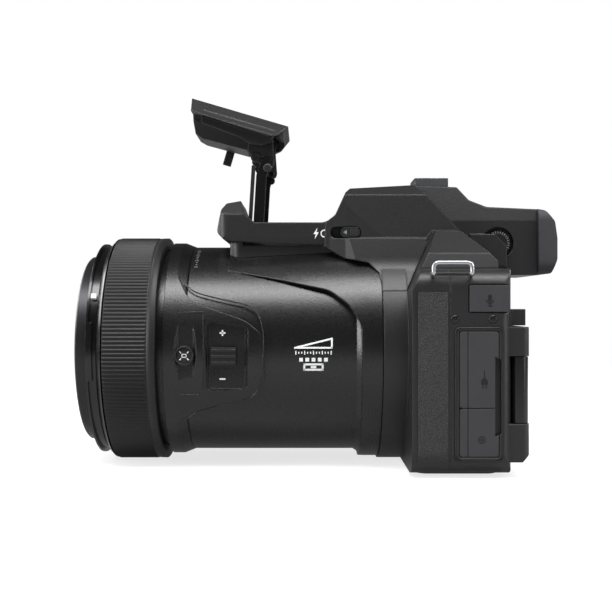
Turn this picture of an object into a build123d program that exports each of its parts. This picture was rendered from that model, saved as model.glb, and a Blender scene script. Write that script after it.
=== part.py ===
from build123d import *
import os
from math import cos, sin, pi, radians, sqrt

os.makedirs("parts", exist_ok=True)

# A long-zoom bridge camera with its flash raised, lens drawn in and monitor closed.
# x points to the camera's left, y to its back, z up.
# The base stands on z 0 and the tripod socket is at x 0, y 0.
# All lengths are in millimetres.

# Gaps that several pieces share
gap = 0.3            # between pieces that move past each other
seam = 0.15          # between two casing pieces
bearing_gap = 0.05   # round a shaft in its hole
overrun = 1.0        # how far a cut runs past what it cuts

# Body
body_left = 60.0
body_right = 86.0
body_front = 18.9
body_back = 20.1
body_split = 4.0     # where the front shell meets the rear cover, in front of the socket
base_thick = 1.2
body_corner = 10.0
body_top_round = 8.0
body_wall = 2.4
body_edge_round = 2.5
top_step = 4.0       # how far the top cover ends in front of the back

# Lens
lens_seam = 29.0     # barrel to body seam, in front of the socket
filter_r = 38.4      # the radii grow from the filter thread outward, by walls and clearances
rim_wall = 1.9
rim_seat = 0.9
tube_wall = 1.3
tube_gap = 0.4
sleeve_wall = 1.6
housing_wall = 3.15
rim_r = filter_r + rim_wall
front_tube_r = filter_r + rim_seat
outer_tube_r = front_tube_r + tube_gap + tube_wall
bore_r = outer_tube_r + tube_gap
sleeve_r = bore_r + sleeve_wall
barrel_r = bore_r + housing_wall
flare_rise = 3.05
flare_r = barrel_r + flare_rise
flare_run = 6.0
flare_slope = 4.5
housing_run = 88.7   # seam to the front of the side panel's collar
groove_run = 2.5
ring_run = 22.1
bezel_run = 6.5
rim_reach = 5.55
ring_wall = 5.6
ring_r = sleeve_r + ring_wall
ring_flange = 3.0
ring_rib = 0.55
ring_rib_count = 92
bezel_step = 2.6
bezel_groove = 1.4
bezel_r = ring_r - bezel_step
bezel_groove_r = bezel_r - bezel_groove
bezel_lip = 0.9
bezel_lug_run = 2.6
bezel_chamfer = 2.2
lug_angle = 30.0
flange_step = 0.9
flange_r = flare_r + flange_step
lens_clear = 0.2     # between the flange and the ground
lens_z = flange_r + lens_clear
shoulder_reach = 63.6
shoulder_start = 0.05  # the raised part of the barrel starts almost level
shoulder_start_r = barrel_r + shoulder_start
swoosh_bend = 10.0
collar_rise = 1.85
collar_r = barrel_r + collar_rise
collar_run = 4.6
collar_slope = 4.7
tongue_rise = 1.35
tongue_r = barrel_r + tongue_rise
tongue_back = 76.6
tongue_bend = 4.0

# Zoom tubes and glass
outer_tube_run = 78.0
front_tube_run = 75.0
rim_run = 5.2
rim_flange = 1.5
rim_ledge = 2.4
rim_flange_r = filter_r - rim_ledge
rim_bevel = 0.6
glass_edge = 3.0
glass_bulge_r = 160.0
zoom_group_place = 86.0
zoom_group_run = 8.0
zoom_group_glass_r = 24.0
iris_run = 1.6
iris_hole_r = 9.0
rear_group_r = 17.0
rear_group_run = 21.0
rear_glass_r = 13.0
rear_glass_run = 5.0
bulkhead_run = 4.0
zoom_carrier_wall = 3.0

# Side panel of the lens
panel_window_front = 112.5
panel_window_back = 82.2
panel_window_down = 18.5
panel_window_up = 17.3
panel_window_low = lens_z - panel_window_down
panel_window_high = lens_z + panel_window_up
panel_back_wall = 1.0
panel_floor_x = bore_r + panel_back_wall
panel_floor = 0.7
panel_flat = 1.2
panel_flat_x = tongue_r - panel_flat
panel_corner = 2.4
pocket_front = 100.3
pocket_back = 83.4
pocket_down = 15.8
pocket_up = 12.4
pocket_low = lens_z - pocket_down
pocket_high = lens_z + pocket_up
ridge_front = 105.4  # a ridge stands between the snap-back button and the lever
flat_front = 111.4
snap_y = 109.0
snap_drop = 1.5
snap_z = lens_z - snap_drop
snap_r = 3.0
snap_collar_r = 3.8
snap_stand = 0.7
lever_y = 93.2
lever_drop = 1.9
lever_z = lens_z - lever_drop
lever_long = 10.0
lever_high = 7.6
lever_reach = 2.3
lever_stem_y = 5.0
lever_stem_z = 2.4
lever_throw = 1.6
lever_rib = 0.5

# Hump, nose and flash; the heights follow from the barrel
nose_front = 97.9
nose_half = 26.5
nose_top_half = 19.0
nose_clear = 1.35    # between the barrel and the nose
nose_side_rise = 11.3
nose_rise = 17.5
nose_chin = 3.8
nose_tuck = 3.0
nose_tuck_rise = 2.4
nose_low = lens_z + barrel_r + nose_clear
nose_side_top = nose_low + nose_side_rise
nose_top = nose_low + nose_rise
nose_corner = 5.0
recess_rise = 7.8
recess_floor = nose_low + recess_rise
recess_half = 24.2
recess_foot = 5.9
recess_run = 8.4
recess_ramp = 4.4
recess_step = 3.0
pedestal_half = 22.5
pedestal_front = 92.6
hump_toe = 9.0
hump_toe_drop = 2.6
hump_toe_low = nose_low - hump_toe_drop
hump_low_half = 31.0
hump_waist_drop = 4.0
hump_half = 28.0
hump_half_front = 28.5
hump_top_half = 19.5
hump_side_rise = 19.3
hump_side_top = nose_low + hump_side_rise
hump_front = 43.4
hump_front_rise = 22.4
hump_front_top = nose_low + hump_front_rise
hump_brow = 2.0
hump_back = 14.0
hump_back_rise = 24.2
hump_back_top = nose_low + hump_back_rise
hump_bend = 3.0
left_top_drop = 12.6
left_top = nose_low - left_top_drop
right_top_drop = 18.6
right_top = nose_low - right_top_drop
arch_rise = 24.5
arch_low = lens_z + arch_rise
arch_thick = 4.0
skirt_foot_x = sqrt(flange_r ** 2 - arch_rise ** 2)
skirt_waist_x = 33.5
skirt_bend = 15.0
fairing_run = 23.0   # the skirt of the top cover, in front of the seam
pocket_drop = 0.3
pocket_floor = nose_low - pocket_drop
shoulder_drop = 6.4
shoulder_rise = 3.0
shoulder_low = nose_low - shoulder_drop
shoulder_high = nose_low + shoulder_rise
shoulder_foot_x = 50.0
shoulder_head_x = 37.5
shoulder_flat = 9.0
seam_drop = 2.4
seam_foot = shoulder_low - seam_drop
slider_front = 49.6
slider_back = 37.1
slider_rise = 3.4
slider_z = nose_low + slider_rise
slider_half_z = 2.4
slider_run = 8.4
slider_proud = 1.5
slot_deep = 2.2

head_front = 87.6
head_proud = 0.2
head_top = nose_top + head_proud
head_run = 42.9
head_half = 26.2
head_top_half = 19.0
head_bevel = 6.4
head_band = 1.3      # how much lower the band's edge is at the rear
head_rear_lean = 2.8
head_deep = 14.0
head_front_corner = 2.0
head_rear_corner = 5.0
head_face_share = 0.345   # how far the lamp's face leans back, of its depth
head_inner_half = 18.0
head_keel_half = 9.0
head_inner_run = 31.5
head_wall = 1.6
apron_half = 23.7
apron_wall = 1.3
apron_low = 12.4
arm_base_y = 80.2
arm_base_rise = 2.4
arm_base_z = nose_low + arm_base_rise
arm_pin_y = 39.0
arm_pin_z = 17.4
arm_sweep = 86.6
head_tilt = 16.3
arm_x = 19.8
arm_thick = 2.3
arm_wide = 4.4
arm_offset = 0.3
arm_crank = 6.0
arm_eye_r = 2.6
arm_eye_low = 1.5
arm_pin_r = 1.2
ear_front = 28.0
link_wide = 1.6
link_thick = 1.4
link_ahead = 3.7
link_rise = 3.7
link_run = 26.5
link_pin_r = 0.7
link_room = 3.0
well_drop = 1.4
catch_at = 16.6
catch_run = 3.6
catch_down = 19.6
catch_room = 1.9
window_thick = 1.0
window_down = 2.6
window_high = 8.4
window_half = 13.0

# Viewfinder
finder_half = 21.5
finder_rise = 14.9
finder_drop = 14.2
finder_top = nose_low + finder_rise
finder_low = nose_low - finder_drop
finder_slope = 12.5
finder_shoulder = 6.0
finder_tuck = 4.0
finder_bend = 3.0
finder_back = 38.6
eyecup_back = 46.4
eyecup_half = 24.0
eyecup_wall = 3.2
eye_hole_half_x = 15.0
eye_hole_half_z = 9.0
eye_glass_run = 2.0
finder_display_place = 8.0
display_half_x = 7.0
display_half_z = 5.5
display_thick = 2.0
diopter_y = 21.6
diopter_drop = 0.6
diopter_z = nose_low - diopter_drop
diopter_r = 5.3
diopter_recess_r = 6.7
diopter_depth = 2.6
diopter_teeth = 24
diopter_tooth = 0.45
guard_front = 9.4
guard_back = 25.0
guard_low = 9.9      # the dial's guard, below and above its middle
guard_high = 3.7
guard_cut = 5.0
guard_out = 2.4
shoe_front = 12.4
shoe_back = 4.6
shoe_end = 2.2
shoe_sink = 0.4
shoe_half = 9.4
shoe_slot_half = 6.3
shoe_base = 1.3
shoe_lip = 1.4
shoe_slot = 2.1

# Grip and right shoulder
grip_clear = 1.5
grip_inner = flange_r + grip_clear
grip_bend = 8.0
grip_nose_bend = 9.0
grip_cheek_bend = 14.0
shoulder_bend = 5.0
grip_front = 47.0
grip_skin = 0.9
grip_skin_low = 9.0
grip_skin_drop = 8.0
grip_skin_high = right_top - grip_skin_drop
cover_high = 7.0
cover_top = right_top + cover_high
cover_round = 2.2
mode_dial_y = 2.0
mode_dial_r = 12.0
mode_dial_clear = 3.0
mode_dial_x = hump_low_half + mode_dial_clear + mode_dial_r
mode_dial_high = 6.5
mode_teeth = 36
tooth = 0.4
command_x = 74.5
command_y = 9.5
command_r = 9.0
command_high = 4.0
shutter_x = 69.0
shutter_y = 34.0
shutter_r = 5.4
zoom_ring_r = 9.6
zoom_ring_high = 3.4
zoom_tab = 3.6
power_x = 60.0
power_y = 17.0
power_r = 4.4
fn_x = 73.5
fn_y = 19.0
fn_r = 3.0
button_stand = 1.3
button_sink = 2.4
button_travel = 0.5
movie_clear = 11.0
movie_x = hump_low_half + movie_clear + fn_r
movie_y = 15.2

# Rear controls
selector_x = 56.0
selector_z = 38.0
selector_r = 12.5
selector_inner_r = 6.4
selector_stand = 2.2
selector_teeth = 36
ok_r = 5.2
rear_button_half_x = 3.6
rear_button_half_z = 2.4
playback_x = 38.0
playback_z = 62.0
display_x = 68.0
display_z = 64.0
menu_x = 40.0
menu_z = 15.0
delete_x = 67.0
delete_z = 15.0
focus_x = 56.0
focus_z = 62.0
focus_r = 5.6
rear_button_bend = 1.0

# Monitor and its hinge
monitor_left = 49.6
monitor_right = 25.4
monitor_low = 6.4
monitor_high = 59.0
monitor_back = 27.2
monitor_front = 20.6
monitor_corner = 3.0
glass_half_x = 33.6
glass_half_z = 22.8
glass_thick = 0.8
glass_recess = 0.9
lug_x0 = 50.2
lug_x1 = 58.6
lug_front = 16.6
lug_high = 47.7
lug_low = 21.3
hinge_x = 54.4
hinge_y = 23.6
hinge_r = 3.5
hinge_pin_r = 1.5
hinge_pin_run = 4.0
arm_plate_x = 43.0
arm_plate_low = 25.0
arm_plate_high = 44.0
ledge_low = 59.6
ledge_high = 66.0
ledge_back = 25.9

# Left side
leather_front = 16.7
leather_back = 5.0
leather_low = 6.4
leather_drop = 9.4
leather_high = left_top - leather_drop
leather_thick = 0.5
frame_front = 2.3
frame_back = 16.4
frame_low = 7.0
frame_high = 59.1
frame_proud = 0.3
frame_deep = 1.6
frame_corner = 2.0
frame_rim = 1.5
cover_thick = 1.3
cover_split = 27.5
finger_y = 13.2
finger_wide = 2.4
finger_low = 16.5
finger_high = 47.5
jack_depth = 7.0
mic_front = 3.3
mic_back = 18.6
mic_drop = 6.7
mic_run = 10.4
mic_high = left_top - mic_drop
mic_low = mic_high - mic_run
lug_plate_front = 11.7
lug_plate_back = 5.0
lug_plate_rise = 2.9
lug_plate_run = 6.2
lug_plate_high = left_top + lug_plate_rise
lug_plate_low = lug_plate_high - lug_plate_run
lug_plate_out = 2.4
lug_plate_in = 3.0
lug_drop = 13.0
lug_slot = 1.3
lug_thick = 1.2
lug_sink = 2.2

# Base, battery and card
socket_r = 3.175
socket_boss_r = 6.5
socket_deep = 5.5
socket_boss_high = 7.0
base_half_x = 46.0
base_front = 16.0
base_back = 17.0
battery_x0 = 80.0
battery_x1 = 65.7
battery_front = 40.0
battery_back = 9.3
battery_low = 3.4
battery_high = 53.4
card_x = 61.0
card_thick = 2.1
card_front = 37.0
card_back = 13.0
card_high = 35.4
bay_gap = 0.35
door_x0 = 83.0
door_x1 = 56.0
door_front = 43.0
door_back = 5.0
door_thick = 1.8
latch_x = 8.0
latch_y = 5.0
latch_travel = 2.5
latch_thick = 0.8

# Inner pieces
sensor_half_x = 14.0
sensor_half_z = 12.0
sensor_thick = 4.0
board_front = 2.0
board_thick = 1.6
board_left = 52.0
board_right = 40.0
board_low = 8.0
board_high = 72.0
screw_r = 1.5
screw_high = 0.9
screw_edge = 4.0


def block(x, y, z):
    """A box between two places on each axis."""
    size = [high - low for low, high in (x, y, z)]
    middle = [(low + high) / 2 for low, high in (x, y, z)]
    return Pos(*middle) * Box(*size)


def outline(points, radius=0):
    """A flat face inside the points, its corners rounded by one radius or one for each."""
    if isinstance(radius, (int, float)):
        radius = [radius] * len(points)
    return make_face(FilletPolyline(*points, radius=radius, close=True))


def side_form(points, x, radius=0):
    """An outline of (y, z) points, carried from x[0] to x[1]."""
    return Pos(x[0], 0, 0) * extrude(Plane.YZ * outline(points, radius), x[1] - x[0])


def front_form(points, y, radius=0):
    """An outline of (x, z) points, carried from y[0] to y[1]."""
    return Pos(0, y[1], 0) * extrude(Plane.XZ * outline(points, radius), y[1] - y[0])


def plan_form(points, z, radius=0):
    """An outline of (x, y) points, carried from z[0] to z[1]."""
    return Pos(0, 0, z[0]) * extrude(outline(points, radius), z[1] - z[0])


def turned(profile, at, along):
    """A (radius, height) profile turned about an axis from a point."""
    face = make_face(Plane.XZ * Polyline(*profile, close=True))
    return Plane(origin=at, z_dir=along).location * revolve(face, Axis.Z)


def disc(at, along, radius, height):
    return Plane(origin=at, z_dir=along).location * extrude(Circle(radius), height)


def tube(at, along, inner, outer, height):
    return Plane(origin=at, z_dir=along).location * extrude(Circle(outer) - Circle(inner), height)


def toothed(at, along, radius, depth, count, height):
    """A disc whose edge is ribbed all round."""
    points = []
    for number in range(2 * count):
        angle = pi * number / count
        reach = radius if number % 2 == 0 else radius - depth
        points.append((reach * cos(angle), reach * sin(angle)))
    return Plane(origin=at, z_dir=along).location * extrude(make_face(Polyline(*points, close=True)), height)


def mirrored(half):
    """The (x, z) points of one half and their mirror image, in order."""
    return half + [(-x, z) for x, z in reversed(half)]


def lens(radius, edge, bulge_r, at, along):
    """A glass with one bulging face, its edge face at the point."""
    rise = bulge_r - sqrt(bulge_r ** 2 - radius ** 2)
    corner, rim, top = (0, edge + rise), (radius, edge), (radius, 0)
    half_way = (radius / 2, edge + rise - (bulge_r - sqrt(bulge_r ** 2 - (radius / 2) ** 2)))
    curve = ThreePointArc(corner, half_way, rim)
    face = make_face(Plane.XZ * (curve + Polyline(rim, top, (0, 0), corner)))
    return Plane(origin=at, z_dir=along).location * revolve(face, Axis.Z)


ahead = (0, -1, 0)
behind = (0, 1, 0)
left = (1, 0, 0)
up = (0, 0, 1)
down = (0, 0, -1)


def lens_place(distance):
    """The point on the lens axis that lies this far in front of the seam."""
    return (0, -lens_seam - distance, lens_z)


pieces = {}

# Lens stations, as distances in front of the seam
collar_at = housing_run
ring_at = collar_at + groove_run
bezel_at = ring_at + ring_run
rim_at = bezel_at + bezel_run
front_at = rim_at + rim_reach
flare_end = flare_run + flare_slope

# Barrel housing: a long tube with a flared foot and a narrower sleeve under the control ring
housing = turned(
    [(bore_r, 0), (flare_r, 0), (flare_r, flare_run), (barrel_r, flare_end), (barrel_r, collar_at),
     (sleeve_r, collar_at), (sleeve_r, bezel_at), (bore_r, bezel_at)],
    lens_place(0), ahead)
# The raised rear of the barrel, bounded by a crease that sweeps down and back
swoosh_share = [(1.00, 0.745), (0.65, 0.655), (0.335, 0.56), (0.21, 0.425), (0.135, 0.245), (0.13, -0.30),
                (0.13, -1.10), (0, -1.10), (0, 1.20), (1.00, 1.20)]
swoosh = [(-lens_seam - along * shoulder_reach, lens_z + rise * barrel_r) for along, rise in swoosh_share]
raised = turned(
    [(bore_r, 0), (flare_r, 0), (flare_r, flare_run), (shoulder_start_r, shoulder_reach),
     (bore_r, shoulder_reach)], lens_place(0), ahead)
swoosh_bend_share = [0, 2.0, 1.2, 1.0, 1.0, 0, 0, 0, 0, 0]
raised = raised & side_form(swoosh, (-flange_r, flange_r), [share * swoosh_bend for share in swoosh_bend_share])
housing = housing + raised
# Side panel: a collar round the barrel with a tongue that carries the lens controls
collar = turned(
    [(barrel_r, 0), (collar_r, 0), (collar_r, -collar_run), (barrel_r, -collar_run - collar_slope)],
    lens_place(collar_at), ahead)
tongue_share = [(0.0, 0.90), (0.13, 0.62), (0.25, 0.42), (0.80, 0.265), (0.96, 0.16), (1.0, 0.05), (1.0, -0.225),
                (0.93, -0.37), (0.60, -0.47), (0.20, -0.56), (0.05, -0.66), (0.0, -0.84)]
tongue_run = lens_seam + collar_at - tongue_back
tongue = [(-lens_seam - collar_at + along * tongue_run, lens_z + rise * ring_r) for along, rise in tongue_share]
tongue_bend_share = [0, 2.0, 2.5, 3.5, 1.5, 1.0, 2.0, 2.0, 3.0, 2.0, 1.0, 0]
tongue_area = side_form(tongue, (0, flange_r), [share * tongue_bend for share in tongue_bend_share])
window = tongue_area & block((panel_floor_x, flange_r), (-panel_window_front, -panel_window_back),
                             (panel_window_low, panel_window_high))
housing = housing - window
tongue_shell = turned([(barrel_r, 0), (collar_r, 0), (collar_r, -collar_run), (tongue_r, -collar_run - collar_slope),
                       (tongue_r, -tongue_run), (barrel_r, -tongue_run)], lens_place(collar_at), ahead)
panel = collar + (tongue_shell & tongue_area)
panel = panel + (window & turned([(0, 0), (tongue_r, 0), (tongue_r, -tongue_run), (0, -tongue_run)],
                                 lens_place(collar_at), ahead))
flat_slope = flange_r - panel_flat_x
panel = panel - plan_form(
    [(panel_flat_x, -flat_front), (flange_r, -flat_front - flat_slope), (flange_r, -ridge_front + flat_slope),
     (panel_flat_x, -ridge_front)], (panel_window_low, panel_window_high))
panel = panel - side_form(
    [(-pocket_front, pocket_low), (-pocket_back, pocket_low + overrun), (-pocket_back, pocket_high - groove_run),
     (-pocket_front, pocket_high)], (panel_floor_x + panel_floor, flange_r), panel_corner)
snap_at = (panel_floor_x + panel_floor, -snap_y, snap_z)
panel = panel - disc(snap_at, left, snap_r + gap, flange_r)
slot_z = lever_stem_z / 2 + lever_throw + gap
panel = panel - block(
    (panel_floor_x + gap, flange_r), (-lever_y - lever_stem_y / 2 - gap, -lever_y + lever_stem_y / 2 + gap),
    (lever_z - slot_z, lever_z + slot_z))
panel = panel + tube((panel_flat_x - panel_floor, -snap_y, snap_z), left, snap_r + gap, snap_collar_r,
                     panel_floor + snap_stand / 2)
panel = panel - housing
pieces["lens_housing"] = housing
pieces["lens_control_panel"] = panel
pieces["snap_back_button"] = disc((panel_floor_x + panel_floor + button_travel + gap, -snap_y, snap_z), left, snap_r,
                                  panel_flat_x + snap_stand - panel_floor_x - panel_floor - button_travel - gap)
lever = block((panel_floor_x + panel_floor + gap, panel_floor_x + panel_floor + lever_reach),
              (-lever_y - lever_long / 2, -lever_y + lever_long / 2),
              (lever_z - lever_high / 2, lever_z + lever_high / 2))
for row in (-1, 0, 1):
    row_z = lever_z + row * lever_high / 3
    row_x = panel_floor_x + panel_floor + lever_reach
    lever = lever + block((row_x, row_x + lever_rib), (-lever_y - lever_long / 2, -lever_y + lever_long / 2),
                          (row_z - lever_rib, row_z + lever_rib))
lever = lever + block((panel_floor_x + 2 * gap, panel_floor_x + panel_floor + gap),
                      (-lever_y - lever_stem_y / 2, -lever_y + lever_stem_y / 2),
                      (lever_z - lever_stem_z / 2, lever_z + lever_stem_z / 2))
pieces["zoom_slide_lever"] = lever

# Control ring: ribbed over most of its width, with a smooth flange behind
ribbed = toothed(lens_place(ring_at + ring_flange), ahead, ring_r, ring_rib, ring_rib_count,
                 ring_run - ring_flange - gap)
ribbed = ribbed + disc(lens_place(ring_at + gap), ahead, ring_r - ring_rib, ring_flange)
pieces["control_ring"] = ribbed - disc(lens_place(0), ahead, sleeve_r + gap, front_at)

# Front bezel: screwed on the sleeve, with a groove behind its lip and three hood lugs across the groove
bezel = turned(
    [(bore_r, 0), (ring_r - gap, 0), (bezel_r, bezel_chamfer), (bezel_groove_r, bezel_chamfer),
     (bezel_groove_r, bezel_run - bezel_lip), (bezel_r, bezel_run - bezel_lip), (bezel_r, bezel_run),
     (bore_r, bezel_run)], lens_place(bezel_at), ahead)
lug_half = radians(lug_angle / 2)
lug_wedge = Plane(origin=lens_place(rim_at - bezel_lug_run), z_dir=ahead, x_dir=left).location * extrude(
    outline([(0, 0), (flange_r, -flange_r * sin(lug_half) / cos(lug_half)),
             (flange_r, flange_r * sin(lug_half) / cos(lug_half))]), bezel_lug_run)
lug_band = tube(lens_place(rim_at - bezel_lug_run), ahead, bezel_groove_r - gap, bezel_r, bezel_lug_run)
lens_axis = Axis((0, 0, lens_z), behind)
for turn in range(3):
    bezel = bezel + (lug_band & lug_wedge.rotate(lens_axis, turn * 360 / 3))
pieces["front_bezel"] = bezel

# Zoom tubes, the front rim with its filter thread, and the lens groups
tube_front = rim_at - gap
pieces["zoom_tube_outer"] = tube(lens_place(tube_front - outer_tube_run), ahead, outer_tube_r - tube_wall,
                                 outer_tube_r, outer_tube_run)
rim_base = front_at - rim_run - rim_flange
pieces["zoom_tube_front"] = tube(lens_place(rim_base - front_tube_run), ahead, front_tube_r - tube_wall,
                                 front_tube_r, front_tube_run)
pieces["front_rim"] = turned(
    [(rim_flange_r, 0), (front_tube_r, 0), (front_tube_r, rim_flange), (rim_r, rim_flange),
     (rim_r, rim_flange + rim_run - rim_bevel), (rim_r - rim_bevel, rim_flange + rim_run),
     (filter_r, rim_flange + rim_run), (filter_r, rim_flange), (rim_flange_r, rim_flange)],
    lens_place(rim_base), ahead)
glass_r = front_tube_r - tube_wall
glass_rise = glass_bulge_r - sqrt(glass_bulge_r ** 2 - glass_r ** 2)
pieces["front_element"] = lens(glass_r, glass_edge, glass_bulge_r,
                               lens_place(rim_base + rim_flange - gap - glass_edge - glass_rise), ahead)
group_r = front_tube_r - tube_wall - gap
group = turned([(zoom_group_glass_r, 0), (group_r, 0), (group_r, zoom_group_run),
                (group_r - zoom_carrier_wall, zoom_group_run), (group_r - zoom_carrier_wall, zoom_carrier_wall),
                (zoom_group_glass_r + zoom_carrier_wall, zoom_carrier_wall),
                (zoom_group_glass_r + zoom_carrier_wall, zoom_group_run), (zoom_group_glass_r, zoom_group_run)],
               lens_place(zoom_group_place), ahead)
group_glass = lens(zoom_group_glass_r, zoom_group_run / 2, glass_bulge_r / 2, lens_place(zoom_group_place), ahead)
iris = tube(lens_place(zoom_group_place - iris_run), ahead, iris_hole_r, zoom_group_glass_r + zoom_carrier_wall,
            iris_run)
pieces["zoom_lens_group"] = Compound(children=[group.solid(), group_glass.solid(), iris.solid()])
bulkhead = disc(lens_place(0), ahead, bore_r, bulkhead_run)
bulkhead = bulkhead + disc(lens_place(-bulkhead_run), ahead, rear_group_r, rear_group_run)
bulkhead = bulkhead - disc(lens_place(-bulkhead_run - overrun), ahead, rear_glass_r, rear_group_run + 2 * overrun)
rear_glass = lens(rear_glass_r, rear_glass_run, glass_bulge_r / 4, lens_place(rear_group_run / 3), ahead)
pieces["rear_lens_group"] = Compound(children=[bulkhead.solid(), rear_glass.solid()])
sensor_front = lens_seam - bulkhead_run
pieces["image_sensor"] = block(
    (-sensor_half_x, sensor_half_x), (-sensor_front, -sensor_front + sensor_thick),
    (lens_z - sensor_half_z, lens_z + sensor_half_z)) + disc(
    (0, -sensor_front + sensor_thick, lens_z), ahead, rear_glass_r, sensor_thick)

# Casing shells: one outline for the front shell and the rear cover
base = base_thick
shell_outline = [(-body_right, base), (body_left, base), (body_left, left_top), (hump_low_half, left_top),
                 (hump_low_half, right_top), (-body_right, right_top)]
shell_round = [body_corner, body_corner, body_top_round, 0, 0, 0]
inner_outline = [(-grip_inner + body_wall, base + body_wall), (body_left - body_wall, base + body_wall),
                 (body_left - body_wall, left_top - body_wall), (hump_low_half - body_wall, left_top - body_wall),
                 (hump_low_half - body_wall, right_top - body_wall),
                 (-grip_inner + body_wall, right_top - body_wall)]
inner_round = [body_wall, body_corner - body_wall, body_top_round - body_wall, 0, 0, body_wall]
cavity = front_form(inner_outline, (-body_front + body_wall, body_back - body_wall), inner_round)


def lean_form(behind_face, x):
    """What lies in front of the left side's front face, which leans back above the lens axis."""
    return side_form([(-lens_seam, arch_low), (-body_front + behind_face, arch_low),
                      (-hump_back / 2 + behind_face, shoulder_high), (-hump_back / 2 + behind_face, hump_back_top),
                      (-lens_seam, hump_back_top)], x)


cavity = cavity - lean_form(body_wall, (hump_low_half - body_wall, body_left))

grip_share = [(0, 0.0), (0, 0.40), (0.20, 0.78), (0.45, 1.0), (0.75, 1.0), (0.95, 0.75), (1.0, 0.40), (1.0, 0.0)]
grip_wide = body_right - grip_inner
grip_deep = grip_front - body_split


def grip_plan(grow):
    """The grip's plan outline, grown outward by a distance."""
    points = [(-grip_inner - x * grip_wide + (grow if x == 0 else -grow if x > 0.9 else 0),
               -body_split - y * grip_deep - (grow if y > 0.7 else 0)) for x, y in grip_share]
    return points


grip_round = [0, grip_bend, grip_bend, grip_nose_bend, grip_nose_bend, grip_nose_bend, grip_cheek_bend, 0]
grip_core = plan_form(grip_plan(0), (base, right_top), grip_round)
front_shell = front_form([(-grip_inner - body_corner, base), (body_left, base), (body_left, left_top),
                          (hump_low_half, left_top), (hump_low_half, right_top),
                          (-grip_inner - body_corner, right_top)],
                         (-body_front, -body_split), [0] + shell_round[1:5] + [0])
front_shell = front_shell + grip_core - cavity
flange_ring = disc((0, -body_front, lens_z), ahead, flange_r, lens_seam - body_front - seam)
front_shell = front_shell + flange_ring
# The top cover takes over above the flange's seam, and the lens opening runs through
over_flange = block((-flange_r - overrun, flange_r + overrun), (-lens_seam - overrun, -body_front),
                    (arch_low, nose_top))
front_shell = front_shell - over_flange
front_shell = front_shell - disc((0, -body_front + body_wall + overrun, lens_z), ahead, bore_r, lens_seam)
front_shell = front_shell - lean_form(0, (hump_low_half, body_left + overrun))

# Battery and card bay in the grip, open at the bottom
battery = block((-battery_x0, -battery_x1), (-battery_front, -battery_back), (battery_low, battery_high))
battery = fillet(battery.edges().filter_by(Axis.Z), door_thick)
card = block((-card_x - card_thick, -card_x), (-card_front, -card_back), (battery_low, card_high))
bay = block((-battery_x0 - bay_gap, -battery_x1 + bay_gap), (-battery_front - bay_gap, -battery_back + bay_gap),
            (0, battery_high + bay_gap))
bay = bay + block((-card_x - card_thick - bay_gap, -card_x + bay_gap), (-card_front - bay_gap, -card_back + bay_gap),
                  (0, card_high + bay_gap))
door_seat = block((-door_x0 - gap, -door_x1 + gap), (-door_front - gap, -door_back + gap),
                  (0, base + door_thick + gap))
front_shell = front_shell - bay - door_seat
pieces["battery"] = battery
pieces["memory_card"] = card

# Rear cover
back_plan = [(body_left, -body_split), (body_left, body_back), (-grip_inner - body_corner, body_back),
             (-body_right + body_corner, body_back - body_edge_round), (-body_right, body_back - body_corner),
             (-body_right, -body_split)]
rear_cover = front_form(shell_outline, (-body_split, body_back), shell_round)
rear_cover = rear_cover & plan_form(back_plan, (0, left_top + overrun), [0, body_corner / 2, body_corner,
                                                                          body_corner / 2, body_corner / 2, 0])
rear_cover = rear_cover - cavity
lug_plan = [(lug_x0, lug_front), (lug_x1, lug_front), (lug_x1, monitor_back), (lug_x0, monitor_back)]
lug_round = [0, 0, monitor_corner, monitor_corner]
rear_cover = rear_cover + plan_form(lug_plan, (lug_high, monitor_high), lug_round)
low_lug = side_form([(lug_front, lug_low), (lug_front, monitor_low), (monitor_back - monitor_corner, monitor_low),
                     (monitor_back, monitor_low + monitor_corner), (monitor_back, lug_low)], (lug_x0, lug_x1))
rear_cover = rear_cover + (low_lug & plan_form(lug_plan, (monitor_low, lug_low), lug_round))
rear_cover = rear_cover + block((arm_plate_x, lug_x1 - monitor_corner), (body_back - body_wall, ledge_back),
                                (ledge_low, ledge_high))
hinge_pin_at = (hinge_x, hinge_y, lug_low - hinge_pin_run)
rear_cover = rear_cover - disc(hinge_pin_at, up, hinge_pin_r + bearing_gap, lug_high - lug_low + 2 * hinge_pin_run)
hinge_well = disc((hinge_x, hinge_y, lug_low), up, hinge_r + 2 * gap, lug_high - lug_low)
rear_cover = rear_cover - hinge_well

# Monitor: its swing barrel stands between the two lugs
barrel = disc((hinge_x, hinge_y, lug_low + gap), up, hinge_r, lug_high - lug_low - 2 * gap)
barrel = barrel + disc(hinge_pin_at, up, hinge_pin_r, lug_high - lug_low + 2 * hinge_pin_run)
plate_y = (monitor_front + 2 * gap, monitor_back - 2 * gap)
barrel = barrel + block((arm_plate_x, hinge_x), plate_y, (arm_plate_low, arm_plate_high))
pieces["monitor_arm"] = barrel
monitor = front_form([(-monitor_right, monitor_low), (monitor_left, monitor_low), (monitor_left, monitor_high),
                      (-monitor_right, monitor_high)], (monitor_front, monitor_back), monitor_corner)
monitor = monitor - block((arm_plate_x, monitor_left + overrun), (monitor_front - overrun, monitor_back + overrun),
                          (arm_plate_low - gap, arm_plate_high + gap))
monitor_middle_x = (monitor_left - monitor_right) / 2 - glass_recess * 2
monitor_middle_z = (monitor_low + monitor_high) / 2
glass_window = block((monitor_middle_x - glass_half_x, monitor_middle_x + glass_half_x - body_wall),
                     (monitor_front + glass_recess, monitor_front + glass_recess + glass_thick),
                     (monitor_middle_z - glass_half_z, monitor_middle_z + glass_half_z))
monitor = monitor - Pos(0, -glass_recess, 0) * glass_window
pieces["monitor_frame"] = monitor
pieces["monitor_glass"] = Pos(0, -glass_recess, 0) * glass_window

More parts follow.
